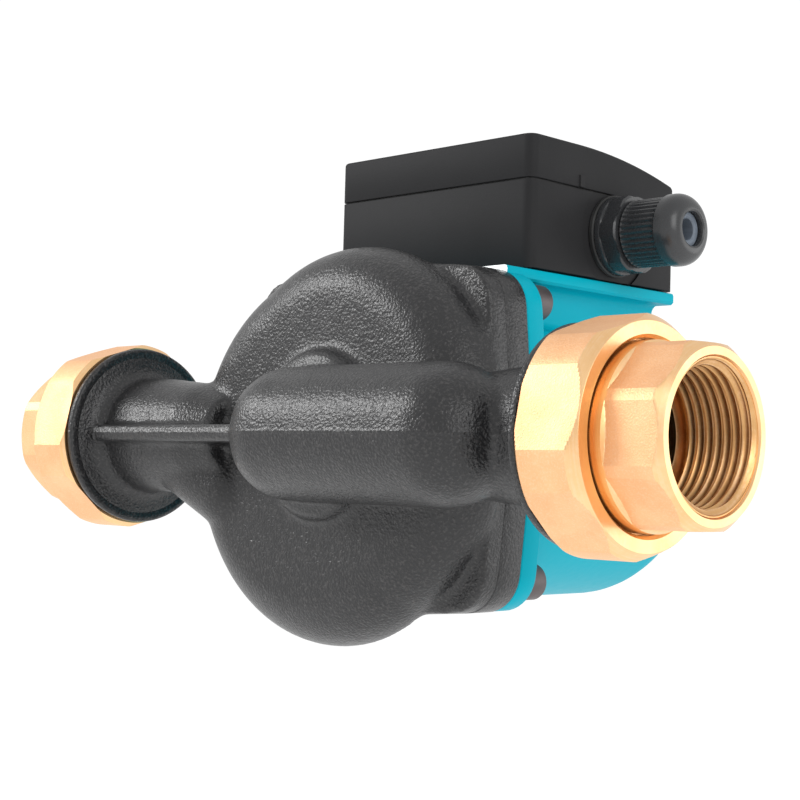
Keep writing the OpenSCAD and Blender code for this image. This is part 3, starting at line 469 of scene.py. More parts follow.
setCamera()
setStudio()
addLamp("keyBox", (-0.68, -0.55, 0.43), (0, 0, 0), (0.30, 0.24), 4.2)
addLamp("sideBox", (0.90, -0.20, 0.35), (0.08, 0, 0), (0.5, 0.5), 2.5)
addLamp("farBox", (0.72, 0.85, 0.10), (0.1, 0, 0), (0.7, 0.5), 1.5)
print("camera and studio set")


def applied(piece):  # the piece's mesh with its modifiers worked in
    graph = bpy.context.evaluated_depsgraph_get()
    mesh = bpy.data.meshes.new_from_object(piece.evaluated_get(graph))
    bpy.data.objects.remove(piece)
    return mesh


def carve(bm, cutter):  # takes the cutter's volume away from bm
    tools = []
    for part in (bm, cutter):
        bmesh.ops.recalc_face_normals(part, faces=part.faces)
        mesh = bpy.data.meshes.new("work")
        part.to_mesh(mesh)
        part.free()
        tools.append(bpy.data.objects.new("work", mesh))
        bpy.context.scene.collection.objects.link(tools[-1])
    cut = tools[0].modifiers.new("cut", "BOOLEAN")
    cut.operation, cut.solver, cut.object = "DIFFERENCE", "EXACT", tools[1]
    result = bmesh.new()
    result.from_mesh(applied(tools[0]))
    bpy.data.objects.remove(tools[1])
    return result


def ringSlab(bm, outer, inner, start, depth):  # outer and inner are (x, z) outlines with as many points
    loops = [loop(bm, [(x, start, z) for x, z in points])[1] for points in (outer, inner)]
    faces = bmesh.ops.bridge_loops(bm, edges=loops[0] + loops[1])["faces"]
    grown = bmesh.ops.extrude_face_region(bm, geom=faces, use_keep_orig=True)
    moved = [g for g in grown["geom"] if isinstance(g, bmesh.types.BMVert)]
    bmesh.ops.translate(bm, verts=moved, vec=(0, depth, 0))


def rod(bm, start, axis, length, radius, steps=32):  # a closed round bar along axis
    middle = start + axis * (length / 2)
    lean = zAxis.rotation_difference(axis).to_matrix().to_4x4()
    return bmesh.ops.create_cone(bm, cap_ends=True, segments=steps, radius1=radius,
                                 radius2=radius, depth=length,
                                 matrix=Matrix.Translation(middle) @ lean)["verts"]


def screwThread(bm, x0, x1, root, crest, back, pitch, steps=96, per=8):
    # a helical ridge on the pipe's axis from x0 to x1, closed on its hidden side at radius back
    before = set(bm.verts)
    rows = int((x1 - x0) / pitch * per) + per + 2
    verts = [bm.verts.new((x0 - pitch + pitch * k / per, root, 0)) for k in range(rows)]
    edges = [bm.edges.new(pair) for pair in zip(verts, verts[1:])]
    bmesh.ops.spin(bm, geom=verts + edges, cent=(0, 0, 0), axis=xAxis, angle=turn, steps=steps,
                   dvec=(pitch / steps, 0, 0))
    ridge = [v for v in bm.verts if v not in before]
    for v in ridge:
        phase = (v.co.x - x0) / pitch - math.atan2(v.co.z, v.co.y) / turn
        height = min(1, max(0, 1.35 * (1 - abs(2 * (phase % 1) - 1)) - 0.15))
        v.co.x = min(x1, max(x0, v.co.x))
        height *= min(1, (v.co.x - x0) / pitch * 2, (x1 - v.co.x) / pitch * 2)
        setRadius(v, root + (crest - root) * height)
    bmesh.ops.remove_doubles(bm, verts=ridge, dist=2e-6)
    rims = [e for e in bm.edges if e.is_boundary]
    grown = bmesh.ops.extrude_edge_only(bm, edges=rims)["geom"]
    for v in grown:
        if isinstance(v, bmesh.types.BMVert):
            setRadius(v, back)
    rims = [g for g in grown if isinstance(g, bmesh.types.BMEdge) and g.is_boundary]
    bmesh.ops.bridge_loops(bm, edges=rims)


def setRadius(v, radius):  # about the pipe's axis
    now = math.hypot(v.co.y, v.co.z)
    v.co.y, v.co.z = v.co.y * radius / now, v.co.z * radius / now


def flatRadius(co, flats, count, clock):  # distance to a polygon's flat in the direction of co
    away = math.degrees(math.atan2(co.z, co.y)) - clock
    step = 360 / count
    return flats / 2 / math.cos(math.radians((away + step / 2) % step - step / 2))


def turnOver(bm):  # from the inlet end to the outlet end, keeping threads right-handed
    bmesh.ops.rotate(bm, verts=bm.verts, cent=(0, 0, 0), matrix=Matrix.Rotation(math.pi, 3, "Z"))


def cutAcross(bm, place, normal, clear=False):
    bmesh.ops.bisect_plane(bm, geom=bm.verts[:] + bm.edges[:] + bm.faces[:], dist=1e-7, plane_co=place,
                           plane_no=normal, clear_outer=clear)


# The iron casting: the exact solid, its creases run together as in a sand mould
casting = dict(voxel=0.00092, cutAt=0.0778, heldFrom=0.0222, passes=5, ridge=0.0002, ridgeWide=0.009,
               sideways=0.7, peak=6.75)  # peak brings the highest value of t(1-t)^2 to one


def makeCastBody():
    bm = bmesh.new()
    bm.from_mesh(cadNodes["pump_housing"].data)
    bmesh.ops.remove_doubles(bm, verts=bm.verts, dist=1e-6)
    mesh = bpy.data.meshes.new("work")
    bm.to_mesh(mesh)
    bm.free()
    rough = bpy.data.objects.new("work", mesh)
    bpy.context.scene.collection.objects.link(rough)
    grid = rough.modifiers.new("grid", "REMESH")
    grid.mode, grid.voxel_size, grid.adaptivity = "VOXEL", casting["voxel"], 0.0
    bm = bmesh.new()
    bm.from_mesh(applied(rough))
    for side in (-1, 1):
        cutAcross(bm, (side * casting["cutAt"], 0, 0), (side, 0, 0), clear=True)
    for _ in range(casting["passes"]):
        free = [v for v in bm.verts if v.co.y < casting["heldFrom"] and not v.is_boundary]
        bmesh.ops.smooth_vert(bm, verts=free, factor=0.5, use_axis_x=True, use_axis_y=True,
                              use_axis_z=True)
    cutAcross(bm, (0, 0, 0), (0, 0, 1))
    bm.normal_update()
    for v in bm.verts:  # the mould's parting line stands out between two shallow hollows
        off = abs(v.co.z) / casting["ridgeWide"]
        free = not v.is_boundary and v.co.y < casting["heldFrom"]
        if off < 1 and free and abs(v.normal.z) < casting["sideways"]:
            v.co -= v.normal * casting["ridge"] * casting["peak"] * off * (1 - off) ** 2
    piece = addPiece("castBody", bm, "pump", [paintedIron], ["pump_housing"], soft=60)
    print("cast body:", len(piece.data.polygons), "faces")


flange = dict(side=47, lobeAt=33, lobe=11, proud=0.12, front=16.6, joint=25, bore=42, edge=0.3)


def flangePoints(grow=0.0):  # outline across the motor's axis, in millimetres
    reach = flange["lobeAt"] * math.sqrt(2)
    lean = math.degrees(math.acos((flange["side"] - flange["lobe"]) / reach))
    points = []
    for middle in (45, 135, 225, 315):
        cx, cz = (reach * f(math.radians(middle)) for f in (math.cos, math.sin))
        points += arc(0, 0, flange["side"] + grow, middle - 90 + lean, middle - lean, 10)
        points += arc(cx, cz, flange["lobe"] + grow, middle - lean, middle + lean, 10)
    return points


def insideCircle(points, radius):
    return [(x * radius / math.hypot(x, z), z * radius / math.hypot(x, z)) for x, z in points]


def makeFlangeBand():
    bm = bmesh.new()
    outline = flangePoints(flange["proud"])
    ringSlab(bm, scaled(outline), scaled(insideCircle(outline, flange["bore"])),
             flange["front"] * mm, (flange["joint"] - flange["front"]) * mm)
    soften(bm, flange["edge"] * mm, 50, 2, lambda e: all(v.co.xz.length > 45 * mm for v in e.verts))
    addPiece("flangeBand", bm, "pump", [paintedIron])


# Port ends: fillet, shoulder rim and male thread on the cut necks
port = dict(neck=16.4, start=70, fillet=77.6, root=22.5, crest=23.9, bore=12.5, pitch=2.309, machined=83.95,
            outside=[(78.9, 16.75), (80.0, 17.6), (80.9, 18.9), (81.45, 20.4), (81.75, 22.0), (82.05, 22.9),
                     (81.85, 23.5), (81.7, 24.1), (81.75, 25.1), (82.0, 25.45), (82.4, 25.6), (83.3, 25.6),
                     (83.7, 25.45), (83.9, 25.1), (84.0, 22.7), (84.3, 22.3), (89.9, 22.3), (90, 22.1),
                     (90, 15.2), (89.8, 12.9)])


def makePortEnd(side):
    p = port
    bm = bmesh.new()
    inside = p["neck"] - 1.2
    profile = [(p["start"], p["bore"]), (p["start"], inside), (p["fillet"] - 0.4, inside),
               (p["fillet"], p["neck"])] + p["outside"] + [(89.2, p["bore"])]
    lathe(bm, xAxis, Vector(), scaled(profile), 128)
    screwThread(bm, 84.35 * mm, 89.8 * mm, p["root"] * mm, p["crest"] * mm, (p["root"] - 0.6) * mm,
                p["pitch"] * mm)
    if side < 0:
        turnOver(bm)
    name = "inletPort" if side > 0 else "outletPort"
    piece = addPiece(name, bm, "pump", [paintedIron, machinedIron], soft=35)
    for face in piece.data.polygons:
        face.material_index = int(abs(face.center.x) > p["machined"] * mm)


makeCastBody()
makeFlangeBand()
for side in (1, -1):
    makePortEnd(side)
print("casting made")


# Motor housing: turned shell, cast plate, saddle and shelf under the box
motor = dict(plateTop=31.8, shell=43.9, wall=3.9, rear=111.2, rearRound=12, cove=3, vent=8.3,
             shelf=37.2, shelfTop=45.2, shelfUnder=41.8, shelfEnd=98.7, saddle=31, saddleEnd=96.7,
             sunk=42)  # sunk is how far in the saddle reaches, inside the shell


def makeMotorShell():
    m = motor
    bm = bmesh.new()
    inner = m["shell"] - m["wall"]
    profile = [(m["plateTop"] - 1, inner), (m["plateTop"] - 1, m["shell"] + m["cove"] + 0.6)]
    profile += [(m["plateTop"] + m["cove"] - a, m["shell"] + m["cove"] - b)
                for a, b in arc(0, 0, m["cove"], 0, 90, 5)]
    profile += arc(m["rear"] - m["rearRound"], m["shell"] - m["rearRound"], m["rearRound"], 90, 0, 12)
    hollow = m["rearRound"] - m["wall"]
    back = m["rear"] - 3.5
    seat = m["rear"] - 0.3
    profile += [(m["rear"], m["vent"] + 5.5), (seat, m["vent"] + 5.2), (seat, m["vent"]), (back, m["vent"])]
    profile += arc(back - hollow, inner - hollow, hollow, 0, 90, 6)
    lathe(bm, yAxis, Vector(), scaled(profile), 144)
    outline = flangePoints()
    ringSlab(bm, scaled(outline), scaled(insideCircle(outline, flange["bore"])), flange["joint"] * mm,
             (m["plateTop"] - flange["joint"]) * mm)
    soften(bm, 0.7 * mm, 60, 3, lambda e: all(v.co.xz.length > 46.5 * mm for v in e.verts))
    addPiece("motorShell", bm, "pump", [tealPaint], ["motor_housing"], soft=35)


def makeShelf():
    m = motor
    bm = bmesh.new()
    low = math.sqrt(m["shell"] ** 2 - m["saddle"] ** 2)
    half = [(m["shelf"] - 0.9, m["shelfTop"]), (m["shelf"] - 0.25, m["shelfTop"] - 0.25),
            (m["shelf"], m["shelfTop"] - 0.9), (m["shelf"], m["shelfUnder"] + 0.7),
            (m["shelf"] - 0.7, m["shelfUnder"])]
    half += [(m["saddle"] + 2.5 - a, m["shelfUnder"] - 2.5 + b) for a, b in arc(0, 0, 2.5, 90, 0, 5)]
    half += [(m["saddle"] + 2.2 - 2.2 * math.cos(t), low + 2 - 2.6 * math.sin(t))
             for t in (0.2, 0.6, 1.0, 1.3)]
    half += [(m["saddle"] - 1, low - 2.2)]
    start, sunk = flange["joint"], m["sunk"]
    half += [(sunk * math.sin(t), sunk * math.cos(t)) for t in (0.62, 0.45, 0.3, 0.15)]
    points = half + [(0, sunk)] + [(-x, z) for x, z in reversed(half)]
    slab(bm, [(x * mm, start * mm, z * mm) for x, z in points], (0, (m["saddleEnd"] - start) * mm, 0))
    top = half[:5] + [(m["saddle"], m["shelfUnder"]), (0, m["shelfUnder"])]
    rim = top + [(-x, z) for x, z in reversed(top[:-1])]
    lap = 0.02
    slab(bm, [(x * mm, (m["saddleEnd"] - lap) * mm, z * mm) for x, z in rim],
         (0, (m["shelfEnd"] - m["saddleEnd"] + lap) * mm, 0))
    piece = addPiece("boxShelf", bm, "pump", [tealPaint, bareAluminium], soft=32)
    for face in piece.data.polygons:
        face.material_index = int(face.normal.y < -0.9 and face.center.y < (start + 0.1) * mm)


makeMotorShell()
makeShelf()
print("motor housing made")


# Union: nut, tailpiece and gasket, the same at both ends
union = dict(
    nutStart=84.4, nutEnd=101.0, flats=51.0, corner=27.2, nutClock=48, backChamfer=1.2, frontCone=2.4,
    faceRadius=25.4, bore=23.96, lipStart=97.4, hole=21.5, thread=24.7, pitch=2.309,
    collar=22.3, collarStart=92.5, neck=21.0, tailFlats=39.7, tailStart=103.3, mouth=117.7, fade=2.2,
    ring=19.05, sink=17.25, root=16.62, crest=15.15, back=13.5, threadStart=99.2,
)


def makeUnionNut(side):
    u = union
    bm = bmesh.new()
    clock = u["nutClock"] if side > 0 else 180 - u["nutClock"]
    x0, x1 = u["nutStart"], u["nutEnd"]
    outside = [x0 + 0.05 + k * 0.15 for k in range(9)]
    outside += [x0 + 1.6 + k * (x1 - x0 - 6.4) / 8 for k in range(9)]
    outside += [x1 - 4.6 + k * 0.19 for k in range(25)]
    profile = [(x0, u["bore"] + 0.5), (x0, u["corner"] - u["backChamfer"])]
    profile += [(x, u["corner"]) for x in outside]
    profile += [(x1, u["faceRadius"] - 0.15), (x1, u["hole"] + 0.8), (x1 - 0.8, u["hole"]),
                (u["lipStart"] + 0.3, u["hole"]), (u["lipStart"], u["hole"] + 0.3),
                (u["lipStart"], u["thread"]), (x0 + 0.6, u["thread"])]
    lathe(bm, xAxis, Vector(), scaled(profile), 180)
    for v in bm.verts:
        radius, x = v.co.yz.length / mm, v.co.x / mm
        if radius > u["faceRadius"] + 0.05 or (radius > u["bore"] + 1 and x < x0 + 0.02):
            flat = flatRadius(v.co, u["flats"], 6, clock)
            back = u["corner"] - u["backChamfer"] + (x - x0)
            rim = u["faceRadius"] - 0.1
            front = rim + (x1 - x) * (u["corner"] - rim) / u["frontCone"]
            setRadius(v, min(flat, u["corner"], back, front) * mm)
    screwThread(bm, (x0 + 0.7) * mm, (u["lipStart"] - 0.8) * mm, (u["thread"] - 0.05) * mm,
                (u["bore"] + 0.02) * mm, (u["thread"] + 0.3) * mm, u["pitch"] * mm)
    if side < 0:
        turnOver(bm)
    name = "inletUnionNut" if side > 0 else "outletUnionNut"
    body, node = ("inlet_nut", "inlet_union_nut") if side > 0 else ("outlet_nut", "outlet_union_nut")
    piece = addPiece(name, bm, body, [castBrass, turnedBrass], [node], soft=14)
    for face in piece.data.polygons:
        asCast = face.center.yz.length > 25.2 * mm and abs(face.normal.x) < 0.3
        face.material_index = int(not asCast)


def makeTailpiece(side):
    u = union
    bm = bmesh.new()
    end = u["mouth"]
    start, lip, neck, root = u["collarStart"], u["lipStart"], u["neck"], u["root"] + 0.1
    profile = [(start, u["back"] + 0.4), (start, u["collar"] - 0.3), (start + 0.3, u["collar"]),
               (lip - 0.1, u["collar"]), (lip - 0.05, neck)]
    profile += [(x, neck) for x in (99.5, 101.5, 102.6, 103.0, 103.2)]
    profile += [(u["tailStart"] + 0.12 * k, neck + 0.002) for k in range(14)]
    profile += [(105.4 + k * 1.2, neck + 0.002) for k in range(8)]
    profile += [(end - 2.7 + 0.18 * k, neck + 0.002) for k in range(15)]
    profile += [(end, u["ring"]), (end, u["sink"] + 0.1), (end - 0.1, u["sink"]), (end - 1.2, root),
                (end - 1.25, root), (u["threadStart"] - 0.4, root), (98.4, u["back"] + 0.5),
                (98.2, u["back"])]
    lathe(bm, xAxis, Vector(), scaled(profile), 192)
    for v in bm.verts:
        radius, x = v.co.yz.length / mm, v.co.x / mm
        if radius > u["neck"] - 0.1 and x > u["tailStart"] + 0.02:
            flat = flatRadius(v.co, u["tailFlats"], 8, 0)
            run = u["neck"] - (x - u["tailStart"]) * 2.2  # the flats' rounded run-out behind the neck
            cone = u["ring"] + (end - x) * (u["neck"] - u["ring"]) / u["fade"]
            setRadius(v, min(max(flat, run), u["neck"], cone) * mm)
    screwThread(bm, u["threadStart"] * mm, (end - 0.55) * mm, u["root"] * mm, u["crest"] * mm,
                (u["root"] + 0.3) * mm, u["pitch"] * mm, 128, 10)
    if side < 0:
        turnOver(bm)
    name = "inletTailpiece" if side > 0 else "outletTailpiece"
    body, node = ("inlet_tail", "inlet_tailpiece") if side > 0 else ("outlet_tail", "outlet_tailpiece")
    piece = addPiece(name, bm, body, [castBrass, turnedBrass, boreShadedBrass], [node], soft=14)
    for face in piece.data.polygons:
        at = face.center
        radius, x = at.yz.length, abs(at.x)
        asCast = radius > 19.5 * mm and x > 103.5 * mm and abs(face.normal.x) < 0.3
        # the bore's inner thread takes the darker brass, as painted shade inside the bore
        inside = radius < 16.9 * mm and x < (end - 0.3) * mm
        face.material_index = 2 if inside else int(not asCast)


def makeUnionGasket(side):
    bm = bmesh.new()
    profile = [(90.02, 14.9), (90.02, 21.7), (90.4, 22.0), (92.1, 22.0), (92.48, 21.7), (92.48, 14.9),
               (92.0, 14.5), (90.5, 14.5)]
    lathe(bm, xAxis, Vector(), scaled(profile), 96)
    if side < 0:
        turnOver(bm)
    name, node = ("inletGasket", "inlet_gasket") if side > 0 else ("outletGasket", "outlet_gasket")
    addPiece(name, bm, "pump", [fibre], [node])


for side in (1, -1):
    makeUnionNut(side)
    makeTailpiece(side)
    makeUnionGasket(side)
print("unions made")


# Terminal box: base tray, cover with its curved slope, seam, tab and screw wells
box = dict(halfWidth=36.6, front=34.5, rear=100.0, low=45.7, split=69.3, seam=0.4, top=81.5, round=3.0,
           wall=2.2, floor=2.5, curveFrom=55.0, curve=178.0, post=3.6, postIn=6.2, edge=0.9,
           holesUp=58.2, glandAlong=71, glandHole=8.1, spotFace=36.0, spotRadius=14.8, knobAcross=-14,
           knobHole=4.2)


def boxOutline(inset, steps=5):  # as (x, y), in millimetres
    b = box
    r = max(b["round"] - inset, 0.6)
    w, y0, y1 = b["halfWidth"] - inset, b["front"] + inset, b["rear"] - inset
    points = arc(w - r, y1 - r, r, 0, 90, steps) + arc(r - w, y1 - r, r, 90, 180, steps)
    return points + arc(r - w, y0 + r, r, 180, 270, steps) + arc(w - r, y0 + r, r, 270, 360, steps)


def level(points, z):
    return [(x * mm, y * mm, z * mm) for x, y in points]


def tray(bm, low, high, floorTop):  # an open tray: outer wall, inner wall and floor
    outer, _ = loop(bm, level(boxOutline(0), low))
    bottom = bm.faces.new(outer)
    grown = bmesh.ops.extrude_face_region(bm, geom=[bottom], use_keep_orig=True)
    top = [g for g in grown["geom"] if isinstance(g, bmesh.types.BMFace)][0]
    bmesh.ops.translate(bm, verts=list(top.verts), vec=(0, 0, (high - low) * mm))
    bmesh.ops.inset_region(bm, faces=[top], thickness=box["wall"] * mm, use_even_offset=True)
    sunk = bmesh.ops.extrude_face_region(bm, geom=[top])
    moved = [g for g in sunk["geom"] if isinstance(g, bmesh.types.BMVert)]
    bmesh.ops.translate(bm, verts=moved, vec=(0, 0, (floorTop - high) * mm))
    bmesh.ops.delete(bm, geom=[top], context="FACES_ONLY")


def atPosts():
    b = box
    return [Vector((x * (b["halfWidth"] - b["postIn"]) * mm, y * mm, 0)) for x in (-1, 1)
            for y in (b["front"] + b["postIn"], b["rear"] - b["postIn"])]


def makeBoxBase():
    b = box
    bm = bmesh.new()
    tray(bm, b["low"], b["split"], b["low"] + b["floor"])
    near = 1e-6

    def outside(edge):
        return any(abs(abs(v.co.x) - b["halfWidth"] * mm) < near or abs(v.co.y - b["front"] * mm) < near
                   or abs(v.co.y - b["rear"] * mm) < near for v in edge.verts)

    soften(bm, 0.35 * mm, 60, 2, lambda e: abs(e.verts[0].co.z - e.verts[1].co.z) < near and outside(e))
    spot = bmesh.new()
    rod(spot, Vector((b["spotFace"], b["glandAlong"], b["holesUp"])) * mm, xAxis, 3 * mm,
        b["spotRadius"] * mm, 96)
    bm = carve(bm, spot)
    hole = bmesh.new()
    rod(hole, Vector((30, b["glandAlong"], b["holesUp"])) * mm, xAxis, 10 * mm, b["glandHole"] * mm, 64)
    rod(hole, Vector((b["knobAcross"], 92, b["holesUp"])) * mm, yAxis, 12 * mm, b["knobHole"] * mm, 48)
    bm = carve(bm, hole)
    for post in atPosts():
        rod(bm, post + Vector((0, 0, b["low"] + 1)) * mm, zAxis, (b["split"] - b["low"] - 1.2) * mm,
            b["post"] * mm, 32)
    addPiece("boxBase", bm, "pump", [boxPlastic], ["terminal_box_base"], soft=28)


def makeBoxCover():
    b = box
    bm = bmesh.new()
    low = b["split"] + b["seam"]
    outer, _ = loop(bm, level(boxOutline(0, 6), low))
    bottom = bm.faces.new(outer)
    grown = bmesh.ops.extrude_face_region(bm, geom=[bottom], use_keep_orig=True)
    top = [g for g in grown["geom"] if isinstance(g, bmesh.types.BMVert)]
    bmesh.ops.translate(bm, verts=top, vec=(0, 0, (b["top"] - low) * mm))
    for k in range(16):
        y = b["curveFrom"] + (b["rear"] - 1 - b["curveFrom"]) * k / 16
        cutAcross(bm, (0, y * mm, 0), (0, 1, 0))
    for v in bm.verts:
        past = v.co.y / mm - b["curveFrom"]
        if v.co.z > (b["top"] - 0.1) * mm and past > 0:
            v.co.z -= (b["curve"] - math.sqrt(b["curve"] ** 2 - past ** 2)) * mm

    def rim(edge):  # where the top meets the sides
        return all(v.co.z > (low + 4) * mm for v in edge.verts) and \
            len({face.normal.z > 0.8 for face in edge.link_faces}) == 2

    soften(bm, b["edge"] * mm, 45, 4, rim)
    soften(bm, 0.3 * mm, 60, 2, lambda e: all(v.co.z < (low + 0.01) * mm for v in e.verts))
    hollow = bmesh.new()
    slab(hollow, level(boxOutline(b["wall"]), low - 1), (0, 0, 5.3 * mm))
    for post in atPosts():
        rod(hollow, post + Vector((0, 0, (low + 5.6) * mm)), zAxis, 9 * mm, 3.2 * mm, 40)
    bm = carve(bm, hollow)
    tab = [(36.3, 54.5), (36.3, 56.9), (37.05, 56.7), (37.05, 54.7)]
    slab(bm, [(x * mm, y * mm, low * mm + 0.1 * mm) for x, y in tab], (0, 0, 3.2 * mm))
    addPiece("boxCover", bm, "pump", [boxPlastic], ["terminal_box_cover"], soft=28)


makeBoxBase()
makeBoxCover()
print("terminal box made")


# Cable gland: washer, hexagonal collar, fluted grip with its domed mouth
gland = dict(y=71.0, z=58.2, seat=36.0, body=37.6, grip=44.8, dome=56.2, end=62.6, gripRadius=9.3,
             domeRadius=9.8, mouth=4.6, flutes=38, fluteDepth=0.42, inner=7.56, fingers=12)


def glandTurned(name, profile, body, finishes, node, steps=96, shape=None, soft=25):
    bm = bmesh.new()
    lathe(bm, xAxis, Vector(), scaled(profile), steps)
    if shape:
        shape(bm)
    bmesh.ops.translate(bm, verts=bm.verts, vec=(0, gland["y"] * mm, gland["z"] * mm))
    return addPiece(name, bm, body, finishes, [node], soft=soft)


def fluteGrip(bm):
    g = gland
    for v in bm.verts:
        radius, x = v.co.yz.length / mm, v.co.x / mm
        if radius > g["gripRadius"] - 0.5 and g["grip"] + 0.3 < x < g["dome"] - 0.35:
            wave = 0.5 + 0.5 * math.cos(math.atan2(v.co.z, v.co.y) * g["flutes"])
            ends = min(1, (x - g["grip"] - 0.3) / 0.5, (g["dome"] - 0.35 - x) / 0.5)
            setRadius(v, (radius - g["fluteDepth"] * wave ** 1.5 * ends) * mm)


def hexCollar(bm):
    for v in bm.verts:
        x = v.co.x / mm
        if v.co.yz.length / mm > 10.4 and x > gland["body"] + 1.9:
            flat = flatRadius(v.co, 20.4, 6, 30)
            cone = 10.4 + (gland["grip"] - 0.3 - x) * 1.4
            setRadius(v, min(v.co.yz.length / mm, flat, cone) * mm)


def makeGland():
    g = gland
    seat, body = g["seat"] + 0.02, g["body"]
    washer = [(seat, 8.1), (seat, 11.1), (g["seat"] + 0.35, 11.4), (body - 0.35, 11.4), (body - 0.02, 11.1),
              (body - 0.02, 8.1)]
    glandTurned("glandWasher", washer, "pump", [blackRubber], "gland_washer")
    collar = [(30.0, 5.6), (30.0, 7.6), (30.4, 8.0), (body, 8.0), (body, 10.8), (body + 0.25, 11.0),
              (body + 1.5, 11.0), (body + 1.8, 10.9)]
    collar += [(body + 2 + 0.3 * k, 10.95) for k in range(16)]
    collar += [(g["grip"] - 0.35, 10.3), (g["grip"] - 0.3, 7.5), (51.4, 7.5), (51.6, 7.3), (51.6, 6.35),
               (g["grip"] + 0.05, 6.35), (g["grip"] + 0.05, 5.6)]
    glandTurned("glandBody", collar, "pump", [glandPlastic], "gland_body", 120, hexCollar, 20)
    grip = [(g["grip"], g["inner"]), (g["grip"], g["gripRadius"] - 0.35),
            (g["grip"] + 0.3, g["gripRadius"])]
    grip += [(x, g["gripRadius"]) for x in (45.15, 45.4, 45.65, 48, 51, 54, 55.3, 55.6, 55.85)]
    grip += [(g["dome"] - 0.15, g["domeRadius"] - 0.25), (g["dome"] + 0.15, g["domeRadius"])]
    grip += arc(g["end"] - 4.6, g["domeRadius"] - 4.6, 4.6, 90, 8, 10)
    grip += [(g["end"], g["mouth"] + 0.7), (g["end"] - 0.3, g["mouth"] + 0.2), (g["end"] - 0.9, g["mouth"]),
             (g["end"] - 1.8, g["mouth"] + 0.2), (g["end"] - 1.9, g["inner"])]
    glandTurned("glandNut", grip, "gland_cap", [glandPlastic], "gland_nut", g["flutes"] * 8,
                fluteGrip, 30)
    seal = [(45.0, 3.1), (45.0, 6.1), (46.0, 6.2), (58.6, 6.2), (60.2, 5.4), (60.75, 4.6), (60.8, 3.4),
            (60.4, 2.95), (58.0, 2.92), (47.0, 2.92)]
    glandTurned("glandSeal", seal, "pump", [sealRubber], "gland_seal", 64)


def makeClaws():
    g = gland
    bm = bmesh.new()
    points = [(52.9, 6.85), (52.9, 7.45), (56.5, 7.5), (59.4, 7.2), (60.6, 6.1), (60.5, 5.7), (59.0, 6.5),
              (56.5, 6.85)]
    lean = 0.21
    for k in range(g["fingers"]):
        finger = bmesh.new()
        verts = [finger.verts.new((x * mm, r * mm * math.cos(-lean), r * mm * math.sin(-lean)))
                 for x, r in points]
        edges = [finger.edges.new(p) for p in zip(verts, verts[1:] + verts[:1])]
        bmesh.ops.contextual_create(finger, geom=edges)
        face = finger.faces[:]
        bmesh.ops.spin(finger, geom=face, cent=(0, 0, 0), axis=xAxis, angle=2 * lean, steps=4)
        bmesh.ops.rotate(finger, verts=finger.verts, cent=(0, 0, 0),
                         matrix=Matrix.Rotation(turn * k / g["fingers"], 3, "X"))
        mesh = bpy.data.meshes.new("finger")
        finger.to_mesh(mesh)
        finger.free()
        bm.from_mesh(mesh)
        bpy.data.meshes.remove(mesh)
    bmesh.ops.translate(bm, verts=bm.verts, vec=(0, g["y"] * mm, g["z"] * mm))
    addPiece("glandClaws", bm, "pump", [clawPlastic], ["gland_claw"])


makeGland()
makeClaws()
print("gland made")


# Socket-head screws and split washers that hold the motor
flangeScrew = dict(at=36.4, seat=31.8, washer=1.6, height=6.0, tip=17.0)


def makeMotorScrews():
    s = flangeScrew
    heads, rings = bmesh.new(), bmesh.new()
    for x in (-1, 1):
        for z in (-1, 1):
            centre = Vector((x * s["at"], 0, z * s["at"])) * mm
            base, top = s["seat"] + s["washer"], s["seat"] + s["washer"] + s["height"]
            profile = [(s["tip"], 0.001), (s["tip"], 2.6), (s["tip"] + 0.5, 3.0), (base, 3.0), (base, 4.5),
                       (base + 0.3, 4.8), (top - 0.7, 4.8), (top - 0.2, 4.6), (top, 4.2), (top, 2.72),
                       (top - 3, 2.7), (top - 3.6, 0.001)]
            lathe(heads, yAxis, centre, scaled(profile), 48)
            wall = [(s["seat"] + 0.05, 3.1), (s["seat"] + 0.05, 4.6), (s["seat"] + 0.2, 4.75),
                    (base - 0.2, 4.75), (base - 0.05, 4.6), (base - 0.05, 3.1)]
            lathe(rings, yAxis, centre, scaled(wall), 40)
    addPiece("motorScrews", heads, "pump", [darkSteel], ["motor_screws"], soft=30)
    addPiece("splitWashers", rings, "pump", [darkSteel], ["motor_screw_washers"], soft=30)


makeMotorScrews()
print("screws made")


# Motor's rear: slotted vent plug, its ring seal, the blank ring label and the speed knob
rear = dict(face=111.2, seal=1.8, head=12.0, headHeight=4.4, slot=2.0, label=(14.0, 30.9), knobX=-14.0,
            knobZ=58.2, knobFoot=100.4, knobHeight=8.0)


def makeVentPlug():
    p = rear
    base, top = p["face"] + p["seal"], p["face"] + p["seal"] + p["headHeight"]
    bm = bmesh.new()
    profile = [(100.0, 0.001), (100.0, 7.3), (100.7, 8.0), (base, 8.0), (base, p["head"] - 0.4),
               (base + 0.4, p["head"]), (top - 0.9, p["head"]), (top - 0.3, p["head"] - 0.35),
               (top, p["head"] - 1.1), (top, 9.2), (top - 0.15, 9.0), (top - 0.15, 0.001)]
    lathe(bm, yAxis, Vector(), scaled(profile), 120)
    for v in bm.verts:  # knurled rim
        radius = v.co.xz.length / mm
        if radius > p["head"] - 0.05:
            wave = 0.5 + 0.5 * math.cos(math.atan2(v.co.z, v.co.x) * 60)
            v.co.x, v.co.z = v.co.x * (1 - 0.02 * wave), v.co.z * (1 - 0.02 * wave)
    slot = bmesh.new()
    bmesh.ops.create_cube(slot, size=1, matrix=Matrix.Translation((0, top * mm, 0))
                          @ Matrix.Diagonal((26 * mm, 4.4 * mm, p["slot"] * mm, 1)))
    bm = carve(bm, slot)
    addPiece("ventPlug", bm, "vent", [turnedBrass], ["vent_plug"], soft=30)


